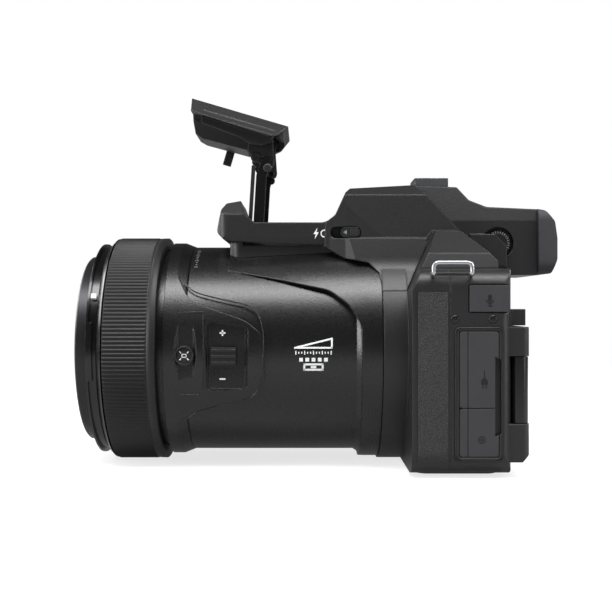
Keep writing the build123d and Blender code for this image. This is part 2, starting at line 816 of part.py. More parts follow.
# Left side: leatherette, connector frame and three rubber covers
side_round = body_corner + leather_thick
wrapped = front_form([(0, base - leather_thick), (body_left + leather_thick, base - leather_thick),
                      (body_left + leather_thick, left_top), (0, left_top)],
                     (-leather_front, -leather_back), [0, side_round, 0, 0])
bare = front_form([(0, base), (body_left, base), (body_left, left_top), (0, left_top)],
                  (-leather_front, -leather_back), [0, body_corner, 0, 0])
pieces["leatherette_left"] = (wrapped - bare) & block(
    (flange_r, body_left + body_wall), (-leather_front, -leather_back), (leather_low, leather_high))
frame_outline = [(-frame_front, frame_low), (frame_back, frame_low), (frame_back, frame_high),
                 (-frame_front, frame_high)]
frame_space = side_form(frame_outline, (body_left - frame_deep, body_left + overrun), frame_corner)
frame = side_form(frame_outline, (body_left - frame_deep, body_left + frame_proud), frame_corner)
rear_cover = rear_cover - frame_space
cover_front, cover_back = -frame_front + frame_rim + gap, frame_back - frame_rim
cover_low, cover_high = frame_low + frame_rim, frame_high - frame_rim
finger = side_form([(finger_y, finger_low), (finger_y + finger_wide, finger_low + finger_wide / 2),
                    (finger_y + finger_wide, finger_high - finger_wide / 2), (finger_y, finger_high)],
                   (body_left - frame_deep, body_left + overrun))
cover_area = side_form([(cover_front - gap, cover_low), (cover_back, cover_low), (cover_back, cover_high),
                        (cover_front - gap, cover_high)],
                       (body_left + frame_proud - cover_thick, body_left + overrun), frame_corner / 2)
jacks = ((cover_split + frame_rim, cover_high - frame_rim), (cover_low + frame_rim, cover_split - frame_rim))
frame = frame - cover_area - finger
board_sockets = []
for low, high in jacks:
    hole = block((body_left - jack_depth, body_left + overrun), (cover_front + frame_rim, finger_y - frame_rim),
                 (low, high))
    frame = frame - hole
    rear_cover = rear_cover - hole
    board_sockets.append(block((body_left - jack_depth, body_left - frame_deep - gap),
                               (cover_front + frame_rim + gap, finger_y - frame_rim - gap), (low + gap, high - gap)))
pieces["connector_frame"] = frame


def connector_cover(low, high):
    """A rubber cover with a crease along its hinge side and a scoop for a fingernail."""
    plate = side_form([(cover_front, low), (cover_back - gap, low), (cover_back - gap, high), (cover_front, high)],
                      (body_left + frame_proud - cover_thick + gap, body_left + frame_proud), frame_corner / 2)
    crease = block((body_left + frame_proud - gap, body_left + overrun),
                   (cover_front + frame_rim * 2, cover_front + frame_rim * 2 + gap), (low - overrun, high + overrun))
    return plate - crease - finger


pieces["upper_connector_cover"] = connector_cover(cover_split + gap / 2, cover_high - gap)
pieces["lower_connector_cover"] = connector_cover(cover_low + gap, cover_split - gap / 2)
mic_well = side_form([(mic_front - gap, mic_low - gap), (mic_back + gap, mic_low - gap),
                      (mic_back + gap, mic_high + gap), (mic_front - gap, mic_high + gap)],
                     (body_left - cover_thick - gap, body_left + overrun))
rear_cover = rear_cover - mic_well
pieces["mic_cover"] = side_form([(mic_front, mic_low), (mic_back, mic_low), (mic_back, mic_high),
                                 (mic_front, mic_high)], (body_left - cover_thick, body_left + frame_proud), gap)

# Main board with its sockets, behind the sensor
board = block((-board_right, board_left), (board_front, board_front + board_thick), (board_low, board_high))
sockets = [part + block((board_left - jack_depth, body_left - jack_depth + gap),
                        (board_front + board_thick, finger_y - frame_rim - gap),
                        (part.bounding_box().min.Z, part.bounding_box().max.Z)) for part in board_sockets]
main_board = board
for part in sockets:
    main_board = main_board + part
pieces["main_board"] = main_board

# Base plate and tripod socket
base_plate = plan_form([(-base_half_x, -base_front), (base_half_x, -base_front), (base_half_x, base_back),
                        (-base_half_x, base_back)], (0, base), body_corner / 2)
base_plate = base_plate - disc((0, 0, -overrun), up, socket_boss_r, base + 2 * overrun)
socket = disc((0, 0, 0), up, socket_boss_r, socket_boss_high) - disc((0, 0, -overrun), up, socket_r,
                                                                     socket_deep + overrun)
front_shell = front_shell - disc((0, 0, 0), up, socket_boss_r, base + body_wall)
rear_cover = rear_cover - disc((0, 0, 0), up, socket_boss_r, base + body_wall)
pieces["base_plate"] = base_plate
pieces["tripod_socket"] = socket

# Battery door on the grip's underside, with its latch
door = block((-door_x0, -door_x1), (-door_front, -door_back), (base, base + door_thick))
latch_well = block((-door_x0 + latch_thick, -door_x0 + latch_thick + latch_x + latch_travel),
                   (-door_front / 2 - latch_y, -door_front / 2 + latch_y), (0, base + latch_thick + gap))
door = door - latch_well
pieces["battery_door"] = door
pieces["battery_latch"] = block(
    (-door_x0 + latch_thick + gap, -door_x0 + latch_thick + latch_x),
    (-door_front / 2 - latch_y + gap, -door_front / 2 + latch_y - gap), (base, base + latch_thick))

# Grip rubber: a skin round the grip core
skin_outer = plan_form(grip_plan(grip_skin), (grip_skin_low, grip_skin_high), [r + grip_skin for r in grip_round])
skin = skin_outer - plan_form(grip_plan(0), (base, right_top), grip_round)
skin = skin & block((-body_right - body_wall, -grip_inner + body_wall), (-grip_front - body_wall, -body_front - gap),
                    (grip_skin_low, grip_skin_high))
pieces["grip_rubber"] = skin

# Right shoulder cover: carries the dials and buttons
cover_plan = grip_plan(0)[1:7] + [(-body_right, body_back - body_corner), (-body_right + body_corner,
                                  body_back - body_edge_round), (-grip_inner, body_back - seam),
                                  (-hump_low_half - seam, body_back - seam), (-hump_low_half - seam, -body_front)]
shoulder_round = grip_round[1:7] + [shoulder_bend, shoulder_bend, shoulder_bend, 0, 0]
shoulder = plan_form(cover_plan, (right_top, cover_top), shoulder_round)
shoulder = chamfer(shoulder.faces().sort_by(Axis.Z)[-1].edges(), cover_round)


def top_well(x, y, radius, depth):
    return disc((-x, y, cover_top - depth), up, radius + gap, depth + overrun)


def top_button(x, y, radius):
    """A round push button standing proud of the shoulder cover, with room for its travel."""
    return turned([(0, 0), (radius, 0), (radius, button_sink + button_stand - tooth),
                   (radius - tooth, button_sink + button_stand), (0, button_sink + button_stand)],
                  (-x, y, cover_top - button_sink + button_travel + gap), up)


for name, x, y, radius in (("power_button", power_x, -power_y, power_r), ("fn_button", fn_x, -fn_y, fn_r),
                           ("movie_button", movie_x, -movie_y, fn_r)):
    shoulder = shoulder - top_well(x, y, radius, button_sink)
    pieces[name] = top_button(x, y, radius)
shoulder = shoulder - top_well(shutter_x, -shutter_y, zoom_ring_r, button_sink)
shutter_at = (-shutter_x, -shutter_y, cover_top - button_sink + gap)
ring_lever = tube(shutter_at, up, shutter_r + gap, zoom_ring_r, button_sink + zoom_ring_high - gap)
ring_lever = ring_lever + block(
    (-shutter_x - zoom_tab / 2, -shutter_x + zoom_tab / 2),
    (-shutter_y - zoom_ring_r - zoom_tab, -shutter_y - zoom_ring_r + overrun),
    (cover_top + gap, cover_top + zoom_ring_high))
pieces["zoom_ring_lever"] = ring_lever
pieces["shutter_button"] = turned(
    [(0, 0), (shutter_r, 0), (shutter_r, button_sink + zoom_ring_high),
     (shutter_r - tooth * 2, button_sink + zoom_ring_high + tooth * 2),
     (0, button_sink + zoom_ring_high + tooth)],
    (-shutter_x, -shutter_y, cover_top - button_sink + 2 * button_travel + gap), up)
shoulder = shoulder - top_well(mode_dial_x, mode_dial_y, mode_dial_r, button_sink)
dial_base = (-mode_dial_x, mode_dial_y, cover_top - button_sink + gap)
pieces["mode_dial"] = toothed(dial_base, up, mode_dial_r, tooth, mode_teeth, button_sink + mode_dial_high - gap)
shoulder = shoulder - disc((0, -body_front + overrun, lens_z), ahead, flange_r + seam, lens_seam)
command_z = cover_top - cover_round - command_high
slot = block((-command_x - command_r - gap, -command_x + command_r + gap),
             (command_y - command_r - gap, body_back + overrun), (command_z - gap, command_z + command_high + gap))
shoulder = shoulder - slot
pieces["command_dial"] = toothed((-command_x, command_y, command_z), up, command_r, tooth, mode_teeth, command_high)
pieces["shoulder_cover"] = shoulder

# Top cover: hump, nose, arch over the lens flange with its skirt, and left shoulder
nose_share = [(0, 0.217), (0.12, 0.766), (0.234, 0.931)]
nose_tip = [(-nose_front + back_share * nose_rise, nose_low + up_share * nose_rise)
            for back_share, up_share in nose_share]
nose_points = nose_tip + [(-head_front - gap, nose_top), (-hump_front, nose_top), (-hump_front, hump_toe_low),
                          (-nose_front + nose_chin, nose_low)]
nose = side_form(nose_points, (-nose_half, nose_half), [nose_tuck, overrun, overrun, 0, 0, 0, nose_tuck])
nose = nose & front_form(
    mirrored([(nose_half - nose_tuck, hump_toe_low - overrun), (nose_half, nose_low + nose_tuck_rise),
              (nose_half, nose_side_top), (nose_top_half, nose_top + overrun / 2)]), (-nose_front, 0))
nose = nose & plan_form([(-nose_half, 0), (-nose_half, -nose_front), (nose_half, -nose_front), (nose_half, 0)],
                        (0, nose_top + overrun), [0, nose_corner, nose_corner, 0])
head_front_low = -head_front + head_bevel * head_face_share
wall_cut = side_form([(-head_front - gap, nose_top + overrun), (head_front_low - 2 * gap, head_top - head_bevel),
                      (-head_front + recess_foot, recess_floor), (-hump_front - recess_run, recess_floor),
                      (-hump_front - recess_ramp, recess_floor + recess_step), (-hump_front, nose_top + overrun)],
                     (-nose_half - overrun, nose_half + overrun),
                     [0, 0, overrun, 2 * hump_bend, hump_bend, 0])
nose = nose - wall_cut
pedestal = plan_form([(-pedestal_half, -hump_front + overrun), (-pedestal_half, -pedestal_front),
                      (pedestal_half, -pedestal_front), (pedestal_half, -hump_front + overrun)],
                     (lens_z + flange_r / 2, nose_low + nose_tuck_rise), [0, nose_corner, nose_corner, 0])
top_back = body_back - top_step
hump_points = [(-hump_front - hump_toe, hump_toe_low), (-hump_front - recess_run, recess_floor),
               (-hump_front - recess_ramp, recess_floor + recess_step),
               (-hump_front, hump_front_top - hump_brow), (-hump_front + hump_brow, hump_front_top),
               (-hump_back, hump_back_top), (top_back, seam_foot), (top_back, right_top), (-body_front, right_top),
               (-body_front - seam, hump_toe_low)]
hump = side_form(hump_points, (-hump_low_half, hump_low_half),
                 [0, hump_brow, hump_bend, overrun, overrun, hump_brow, 0, 0, 0, 0])
hump = hump & front_form(
    mirrored([(hump_low_half, right_top), (hump_low_half - gap, nose_low - hump_waist_drop),
              (hump_half, hump_side_top), (hump_top_half, hump_back_top + overrun / 2)]), (-nose_front, body_back))
hump = hump & plan_form(
    mirrored([(nose_half, -hump_front - hump_toe - overrun), (hump_half_front, -hump_front),
              (hump_low_half, -body_front), (hump_low_half, body_back)]), (right_top, hump_back_top + overrun))
arch = tube((0, -body_front, lens_z), ahead, flange_r - arch_thick, flange_r, lens_seam - body_front - seam)
arch = arch & block((-flange_r, flange_r), (-lens_seam, -body_front), (arch_low, nose_top))
left_shoulder = front_form(
    [(hump_low_half - overrun, left_top), (body_left - body_top_round, left_top), (shoulder_foot_x, shoulder_low),
     (shoulder_head_x, shoulder_high), (hump_low_half - overrun, shoulder_high + overrun)], (-body_front, top_back))
left_shoulder = left_shoulder & side_form(
    [(-body_front, left_top), (-hump_back / 2, shoulder_high + hump_brow),
     (-hump_back / 2 + shoulder_flat, shoulder_high + hump_brow), (top_back, shoulder_low - hump_bend),
     (top_back, left_top)], (0, body_left))
left_shoulder = left_shoulder - lean_form(0, (hump_low_half, body_left))
# The skirt flares from the hump to the flange, on the left side as far back as the leaning face
skirt_share = [(1.0, 0.88), (0.65, 0.65), (0.22, 0.556), (0.045, 0.364), (0, 0.12), (0, 0)]
skirt_rise = nose_low - arch_low
skirt_side = [(-lens_seam - along * fairing_run, arch_low + rise * skirt_rise) for along, rise in skirt_share]
skirt_outer = [(skirt_foot_x, arch_low), (skirt_waist_x, (arch_low + nose_low + gap) / 2),
               (hump_low_half - gap, nose_low + overrun)]
skirt_front = side_form(skirt_side + [(-body_front - seam, arch_low), (-body_front - seam, nose_low + overrun),
                                      (-lens_seam - fairing_run, nose_low + overrun)],
                        (-skirt_foot_x, skirt_foot_x))
skirt_front = skirt_front & front_form(mirrored(skirt_outer), (-lens_seam - fairing_run, 0),
                                       [0, skirt_bend, 0, 0, skirt_bend, 0])
skirt_front = skirt_front & plan_form(
    mirrored([(nose_half, -lens_seam - fairing_run), (hump_half_front + overrun, -hump_front),
              (skirt_foot_x, -lens_seam), (skirt_foot_x, 0)]), (arch_low, nose_low + overrun))
skirt_rear = front_form(skirt_outer + [(nose_half, nose_low + overrun), (nose_half, right_top),
                                       (hump_low_half, right_top), (hump_low_half, arch_low)],
                        (-body_front - overrun, 0), [0, skirt_bend, 0, 0, 0, 0, 0])
skirt_rear = skirt_rear & side_form(
    [(-body_front - overrun, arch_low), (-body_front - gap, arch_low), (-hump_back / 2 - gap, shoulder_high),
     (-body_front - overrun, shoulder_high)], (0, skirt_foot_x))
top_cover = nose + pedestal + hump + arch + left_shoulder + skirt_front + skirt_rear
barrel_space = turned([(0, 0), (flare_r, 0), (flare_r, flare_run), (shoulder_start_r, shoulder_reach),
                       (barrel_r, shoulder_reach + overrun), (barrel_r, collar_at), (0, collar_at)],
                      lens_place(0), ahead)
top_cover = top_cover - barrel_space
top_cover = top_cover - disc((0, -body_front + body_wall, lens_z), ahead, flange_r - arch_thick, lens_seam)
# Recess for the folded flash, deeper at both sides for the arms
face_gap = 2 * gap
recess_deep = head_top - pocket_floor
head_back = -head_front + head_run
recess = side_form([(-head_front - face_gap, nose_top + overrun),
                    (-head_front - face_gap + recess_deep * head_face_share, pocket_floor),
                    (head_back - gap, pocket_floor), (head_back + gap, recess_floor + 2 * hump_bend),
                    (head_back + 2 * overrun, nose_top + overrun)], (-recess_half, recess_half))
top_cover = top_cover - recess
ear_x = arm_x - gap - arm_thick
arm_well = block((-recess_half, recess_half), (-arm_base_y - link_ahead - link_room, head_back - gap),
                 (pocket_floor - well_drop, recess_floor + arm_wide)) - block(
    (-ear_x + gap, ear_x - gap), (-nose_front, 0), (0, nose_top))
top_cover = top_cover - arm_well
pin_line = disc((-nose_half, -arm_base_y, arm_base_z), left, arm_pin_r + bearing_gap, 2 * nose_half)
pin_line = pin_line + disc((-nose_half, -arm_base_y - link_ahead, arm_base_z + link_rise), left,
                           link_pin_r + bearing_gap, 2 * nose_half)
pin_line = pin_line & block((-nose_half + body_wall / 2, nose_half - body_wall / 2), (-nose_front, 0), (0, nose_top))
top_cover = top_cover - pin_line
# Flash release slider in a slot on the left side of the nose
slot_half = slider_half_z - gap
top_cover = top_cover - side_form(
    [(-slider_front, slider_z - slider_half_z), (-slider_back, slider_z - slider_half_z),
     (-slider_back, slider_z + slider_half_z), (-slider_front, slider_z + slider_half_z)],
    (nose_half - slot_deep, hump_low_half + overrun), slot_half)
pieces["flash_slider"] = side_form(
    [(-slider_back - slider_run, slider_z - slot_half), (-slider_back - gap, slider_z - slot_half),
     (-slider_back - gap, slider_z + slot_half), (-slider_back - slider_run, slider_z + slot_half)],
    (nose_half - slot_deep + gap, hump_half + slider_proud), slot_half - gap)

# Viewfinder housing behind the slanting seam, with the hot shoe on top
eye_hole = block((-eye_hole_half_x, eye_hole_half_x), (finder_display_place, finder_back + overrun),
                 (diopter_z - eye_hole_half_z, diopter_z + eye_hole_half_z))
top_cover = top_cover - eye_hole
roof_share = [(0, 0.935), (0.4, 0.323), (1.0, 0)]
roof = [(shoe_back + along * finder_slope, finder_top + rise * (hump_back_top - finder_top))
        for along, rise in roof_share]
finder_points = [(-hump_back, hump_back_top)] + roof + [
    (finder_back, finder_top - overrun), (finder_back, finder_low), (body_back - overrun, finder_low),
    (top_back, left_top), (top_back, seam_foot)]
finder = side_form(finder_points, (-finder_half, finder_half),
                   [0, overrun, finder_bend, 2 * finder_bend, 0, 0, 0, 0, 0])
finder = finder - side_form(hump_points, (-hump_low_half, hump_low_half), 0)
finder = finder & front_form(
    mirrored([(finder_half, finder_low - overrun), (finder_half, finder_top - finder_shoulder),
              (finder_half - finder_tuck, hump_back_top + overrun)]), (-nose_front, finder_back))
# A guard stands over the lower front part of the diopter dial
guard = side_form([(guard_front, diopter_z - guard_low), (guard_back, diopter_z - guard_low),
                   (guard_back, diopter_z + guard_high - guard_cut), (guard_back - guard_cut, diopter_z + guard_high),
                   (guard_front, diopter_z + guard_high)], (finder_half - overrun, finder_half + guard_out))
guard = guard - side_form(hump_points, (-hump_low_half, hump_low_half), 0)
guard = guard - disc((finder_half, diopter_y, diopter_z), left, diopter_recess_r, 2 * gap)
finder = finder + guard
finder = finder - eye_hole
diopter_at = (finder_half - diopter_depth, diopter_y, diopter_z)
finder = finder - disc(diopter_at, left, diopter_recess_r, diopter_depth)
pieces["diopter_dial"] = toothed((finder_half - diopter_depth + gap, diopter_y, diopter_z), left, diopter_r,
                                 diopter_tooth, diopter_teeth, diopter_depth)
glass_y = finder_back - eye_glass_run - gap
pieces["eyepiece_lens"] = block((-eye_hole_half_x, eye_hole_half_x), (glass_y, glass_y + eye_glass_run),
                                (diopter_z - eye_hole_half_z, diopter_z + eye_hole_half_z))
pieces["viewfinder_display"] = block(
    (-display_half_x, display_half_x), (finder_display_place, finder_display_place + display_thick),
    (diopter_z - display_half_z, diopter_z + display_half_z))
eyecup_share = [(0, 0), (0, 0.966), (0.41, 0.945), (0.872, 0.777), (1.0, 0.536), (1.0, 0.227), (0.744, 0.024)]
eyecup_points = [(finder_back + along * (eyecup_back - finder_back), finder_low + rise * (finder_top - finder_low))
                 for along, rise in eyecup_share]
eyecup = side_form(eyecup_points, (-eyecup_half, eyecup_half),
                   [0, 0, finder_bend, finder_bend, finder_bend, finder_bend, overrun])
eyecup = eyecup & front_form([(-eyecup_half, finder_low), (eyecup_half, finder_low), (eyecup_half, finder_top),
                              (-eyecup_half, finder_top)], (finder_back, eyecup_back), 2 * finder_bend)
eyecup = eyecup - front_form(
    [(-eye_hole_half_x - eyecup_wall, diopter_z - eye_hole_half_z - eyecup_wall / 2),
     (eye_hole_half_x + eyecup_wall, diopter_z - eye_hole_half_z - eyecup_wall / 2),
     (eye_hole_half_x + eyecup_wall, diopter_z + eye_hole_half_z + eyecup_wall / 2),
     (-eye_hole_half_x - eyecup_wall, diopter_z + eye_hole_half_z + eyecup_wall / 2)],
    (finder_back - overrun, eyecup_back + overrun), eyecup_wall)
pieces["eyecup"] = eyecup
shoe_z = hump_back_top - shoe_sink
shoe = block((-shoe_half, shoe_half), (-shoe_front, shoe_end), (shoe_z, shoe_z + shoe_base + shoe_slot + shoe_lip))
shoe = shoe - block((-shoe_half + shoe_lip, shoe_half - shoe_lip), (-shoe_front + shoe_lip, shoe_back + overrun),
                    (shoe_z + shoe_base, shoe_z + shoe_base + shoe_slot))
shoe = shoe - block((-shoe_slot_half, shoe_slot_half), (-shoe_front + shoe_lip, shoe_back + overrun),
                    (shoe_z + shoe_base, hump_back_top + body_corner))
shoe_seat = block((-shoe_half, shoe_half), (-shoe_front, shoe_end), (shoe_z, hump_back_top + body_corner))
finder = finder - shoe_seat
top_cover = top_cover - shoe_seat
pieces["hot_shoe"] = shoe
pieces["viewfinder_housing"] = finder
pieces["top_cover"] = top_cover

# Raised flash: each piece is made folded flat and then turned up about its pivot
pin_folded = Vector(0, -head_front + arm_pin_y, head_top - arm_pin_z)
arm_base = Vector(0, -arm_base_y, arm_base_z)
arm_axis = Axis(tuple(arm_base), left)
swing = radians(arm_sweep)
reach = pin_folded - arm_base
pin_raised = arm_base + Vector(0, reach.Y * cos(swing) - reach.Z * sin(swing),
                               reach.Y * sin(swing) + reach.Z * cos(swing))


def raise_head(piece):
    """Carry a piece of the folded head to its raised place."""
    turned_up = piece.rotate(Axis(tuple(pin_folded), left), -head_tilt)
    return Pos(*(pin_raised - pin_folded)) * turned_up


def head_form(points, x, radius=0):
    """A side form whose points are distances behind the head's front edge and below its top."""
    return side_form([(-head_front + along, head_top - below) for along, below in points], x, radius)


shell = head_form([(0, 0), (head_bevel * head_face_share, head_bevel), (head_run - head_bevel, head_bevel + head_band),
                   (head_run - head_rear_lean, head_bevel - head_band), (head_run, 0)], (-head_half, head_half),
                  [0, 0, overrun, overrun, 0])
shell = shell & front_form(
    mirrored([(head_half, head_top - head_deep), (head_half, head_top - head_bevel), (head_top_half, head_top)]),
    (-head_front, head_back))
shell = shell & plan_form(
    [(-head_half, head_back), (-head_half, -head_front), (head_half, -head_front), (head_half, head_back)],
    (head_top - head_deep, head_top), [head_rear_corner, head_front_corner, head_front_corner, head_rear_corner])
# An apron hangs round the arms behind the lamp
apron_share = [(0.16, 0.3), (0.16, 0.758), (0.58, 0.87), (0.695, 1.0), (0.813, 0.95), (0.888, 0.73), (0.888, 0.3)]
apron_points = [(along * head_run, below * apron_low) for along, below in apron_share]
apron = head_form(apron_points, (-apron_half, apron_half), [0, overrun, overrun, overrun, overrun, overrun, 0])
hollow_half = apron_half - apron_wall
hollow = block((-hollow_half, hollow_half), (-nose_front, 0),
               (head_top - apron_low - overrun, head_top - head_bevel - head_band))
shell = shell + (apron - hollow)
lamp_low = head_deep - overrun
lamp = head_form([(head_bevel * head_face_share, head_bevel), (lamp_low * head_face_share, lamp_low),
                  (head_front_corner * 4, head_deep), (ear_front, head_deep - overrun / 2),
                  (head_inner_run, head_deep - head_rear_corner), (head_inner_run, head_bevel)],
                 (-head_inner_half, head_inner_half))
lamp = lamp & front_form(
    mirrored([(head_keel_half, head_top - head_deep - gap), (head_inner_half, head_top - head_deep + head_rear_corner),
              (head_inner_half, head_top - head_bevel)]), (-head_front, head_back))
# Behind the lamp the shell is hollow over the pivots
roof_low = head_top - head_wall
rear_hollow = front_form(
    mirrored([(hollow_half, head_top - apron_low), (hollow_half, head_top - head_bevel + overrun),
              (head_inner_half, roof_low)]), (-head_front + head_inner_run, head_back - head_wall))
head = shell + lamp - rear_hollow
eye_front, eye_back = arm_pin_y - arm_eye_r, arm_pin_y + arm_eye_r
eye_low = arm_pin_z + arm_eye_low
for near in (-ear_x - arm_thick, ear_x):
    ear = head_form([(ear_front, head_bevel), (ear_front + overrun, head_deep + overrun), (eye_front, eye_low),
                     (eye_back, eye_low), (eye_back, arm_pin_z - overrun), (head_run - head_rear_corner, head_bevel),
                     (head_run - head_rear_corner, head_wall / 2), (ear_front, head_wall / 2)],
                    (near, near + arm_thick),
                    [0, arm_eye_r / 3, arm_eye_r / 2, arm_eye_r / 2, arm_eye_r / 3, arm_eye_r / 3, 0, 0])
    head = head + ear
face_top = window_down * head_face_share + gap
face_low = face_top + window_high * head_face_share
window_low = window_down + window_high
window_face = head_form([(face_top, window_down), (face_low, window_low), (face_low + window_thick, window_low),
                         (face_top + window_thick, window_down)], (-window_half, window_half))
mouth = head_form([(face_top - overrun, window_down), (face_low - overrun, window_low),
                   (face_low + window_thick, window_low), (face_top + window_thick, window_down)],
                  (-window_half, window_half))
head = head - mouth
pin_hole = disc((-ear_x - arm_thick - overrun, pin_folded.Y, pin_folded.Z), left, arm_pin_r + bearing_gap,
                2 * (ear_x + arm_thick + overrun))
head = head - pin_hole
# The catch that holds the folded head, and its hole in the recess
catch_x = (-head_inner_half + head_wall, -head_inner_half + head_wall + arm_thick)
head = head + block(catch_x, (-head_front + catch_at, -head_front + catch_at + catch_run),
                    (head_top - catch_down, head_top - head_bevel))
top_cover = top_cover - block(
    (catch_x[0] - gap, catch_x[1] + gap),
    (-head_front + catch_at - 2 * gap, -head_front + catch_at + catch_run + 3 * gap),
    (head_top - catch_down - catch_room, pocket_floor + overrun))
pieces["top_cover"] = top_cover
pieces["flash_head"] = raise_head(head)
pieces["flash_window"] = raise_head(window_face)

legs = []
for near, far in ((-arm_x - arm_thick, -arm_x), (arm_x, arm_x + arm_thick)):
    leg = side_form([(-arm_base_y - arm_eye_r, arm_base_z - arm_wide / 2 + arm_offset),
                     (pin_folded.Y - arm_crank, arm_base_z - arm_wide / 2 + arm_offset),
                     (pin_folded.Y + arm_eye_r, pin_folded.Z - arm_eye_low),
                     (pin_folded.Y + arm_eye_r, pin_folded.Z + arm_eye_r),
                     (pin_folded.Y - arm_crank, arm_base_z + arm_wide / 2 + arm_offset),
                     (-arm_base_y - arm_eye_r, arm_base_z + arm_wide / 2 + arm_offset)], (near, far), arm_wide / 3)
    legs.append(leg)
base_pin = disc((-nose_half + body_wall / 2, -arm_base_y, arm_base_z), left, arm_pin_r,
                2 * (nose_half - body_wall / 2))
arm = legs[0] + legs[1] + (base_pin - block((-arm_x, arm_x), (-nose_front, 0), (0, nose_top)))
for side in (-1, 1):
    start = -arm_x if side < 0 else ear_x
    arm = arm + disc((start, pin_folded.Y, pin_folded.Z), left, arm_pin_r, arm_x - ear_x)
pieces["flash_arm"] = arm.rotate(arm_axis, arm_sweep)

bars = []
link_base = Vector(0, -arm_base_y - link_ahead, arm_base_z + link_rise)
link_axis = Axis(tuple(link_base), left)
for near, far in ((-arm_x - gap - link_thick, -arm_x - gap), (arm_x + gap, arm_x + gap + link_thick)):
    bar = side_form([(link_base.Y - link_wide, link_base.Z - link_wide / 2),
                     (link_base.Y + link_run, link_base.Z - link_wide / 2),
                     (link_base.Y + link_run, link_base.Z + link_wide / 2),
                     (link_base.Y - link_wide, link_base.Z + link_wide / 2)], (near, far), link_wide / 3)
    bars.append(bar)
link_pin = disc((-nose_half + body_wall / 2, link_base.Y, link_base.Z), left, link_pin_r,
                2 * (nose_half - body_wall / 2))
link = bars[0] + bars[1] + (link_pin - block((-arm_x, arm_x), (-nose_front, 0), (0, nose_top)))
pieces["flash_link"] = link.rotate(link_axis, arm_sweep)

# Rear controls
back = body_back


def rear_disc(x, z, radius, start, height):
    return disc((-x, back + start, z), behind, radius, height)


rear_wells = rear_disc(selector_x, selector_z, selector_r + gap, -body_wall / 2, body_wall)
rear_wells = rear_wells + rear_disc(focus_x, focus_z, focus_r + gap, -body_wall / 2, body_wall)
selector = toothed((-selector_x, back - body_wall / 2 + gap, selector_z), behind, selector_r, tooth, selector_teeth,
                   body_wall / 2 - gap + selector_stand)
pieces["multi_selector"] = selector - rear_disc(selector_x, selector_z, selector_inner_r, -body_wall, 2 * body_corner)
pieces["ok_button"] = rear_disc(selector_x, selector_z, ok_r, -body_wall / 2 + button_travel + gap,
                                body_wall / 2 + selector_stand - button_travel)
pieces["focus_selector"] = rear_disc(focus_x, focus_z, focus_r, -body_wall / 2 + gap, body_wall / 2 + button_stand)
for name, x, z in (("playback_button", playback_x, playback_z), ("display_button", display_x, display_z),
                   ("menu_button", menu_x, menu_z), ("delete_button", delete_x, delete_z)):
    sides = [(-x - rear_button_half_x, z - rear_button_half_z), (-x + rear_button_half_x, z - rear_button_half_z),
             (-x + rear_button_half_x, z + rear_button_half_z), (-x - rear_button_half_x, z + rear_button_half_z)]
    wide, high = rear_button_half_x + gap, rear_button_half_z + gap
    grown = [(-x - wide, z - high), (-x + wide, z - high), (-x + wide, z + high), (-x - wide, z + high)]
    rear_wells = rear_wells + front_form(grown, (back - body_wall / 2, back + body_wall), rear_button_bend + gap)
    pieces[name] = front_form(sides, (back - body_wall / 2 + 2 * button_travel, back + button_stand), rear_button_bend)
rear_cover = rear_cover - rear_wells
pieces["front_shell"] = front_shell
pieces["rear_cover"] = rear_cover

# Strap lugs: bent metal loops, one on each side
lug_outer = [(-lug_plate_front, lug_plate_low), (lug_plate_back, lug_plate_low), (lug_plate_back, lug_plate_high),
             (-lug_plate_front, lug_plate_high)]
lug_inner = [(-lug_plate_front + lug_slot, lug_plate_low + lug_thick),
             (lug_plate_back - lug_slot, lug_plate_low + lug_thick),
             (lug_plate_back - lug_slot, lug_plate_high - lug_thick),
             (-lug_plate_front + lug_slot, lug_plate_high - lug_thick)]
lug_root = body_left - lug_plate_in
lug_loop = side_form(lug_outer, (lug_root, body_left + lug_plate_out), lug_slot)
lug_loop = lug_loop - side_form(lug_inner, (lug_root - overrun, body_left + lug_plate_out + overrun), lug_slot / 2)
lug_loop = lug_loop - block((body_left - lug_sink, body_left + lug_plate_out + overrun),
                            (-lug_plate_front + lug_slot, lug_plate_back - lug_slot),
                            (lug_plate_low - overrun, lug_plate_low + lug_thick + overrun))
lug_seat = side_form(lug_outer, (lug_root, body_left + lug_plate_out + overrun), lug_slot)
to_right = Pos(body_left - body_right, 0, -lug_drop)
right_lug = to_right * lug_loop.mirror(Plane.YZ)
right_seat = to_right * lug_seat.mirror(Plane.YZ)
pieces["strap_lugs"] = Compound(children=[lug_loop.solid(), right_lug.solid()])
for name in ("front_shell", "rear_cover", "top_cover"):
    pieces[name] = pieces[name] - lug_seat - right_seat

# Screws: two on the left side and four in the base plate
screw_list = []
for y in (-frame_front, frame_back - screw_edge):
    at = (body_left - screw_high, y, (frame_high + mic_low) / 2)
    screw_list.append(disc(at, left, screw_r, screw_high + seam))
    pieces["rear_cover"] = pieces["rear_cover"] - disc(at, left, screw_r, screw_high + overrun)
for x in (-base_half_x + body_corner, base_half_x - body_corner):
    for y in (-base_front + body_corner / 2, base_back - body_corner / 2):
        screw_list.append(disc((x, y, seam), up, screw_r, screw_high))
        pieces["base_plate"] = pieces["base_plate"] - disc((x, y, -overrun), up, screw_r, overrun + seam + screw_high)
pieces["screws"] = Compound(children=[screw.solid() for screw in screw_list])

for name, piece in pieces.items():
    export_step(piece, os.path.join("parts", name + ".step"))
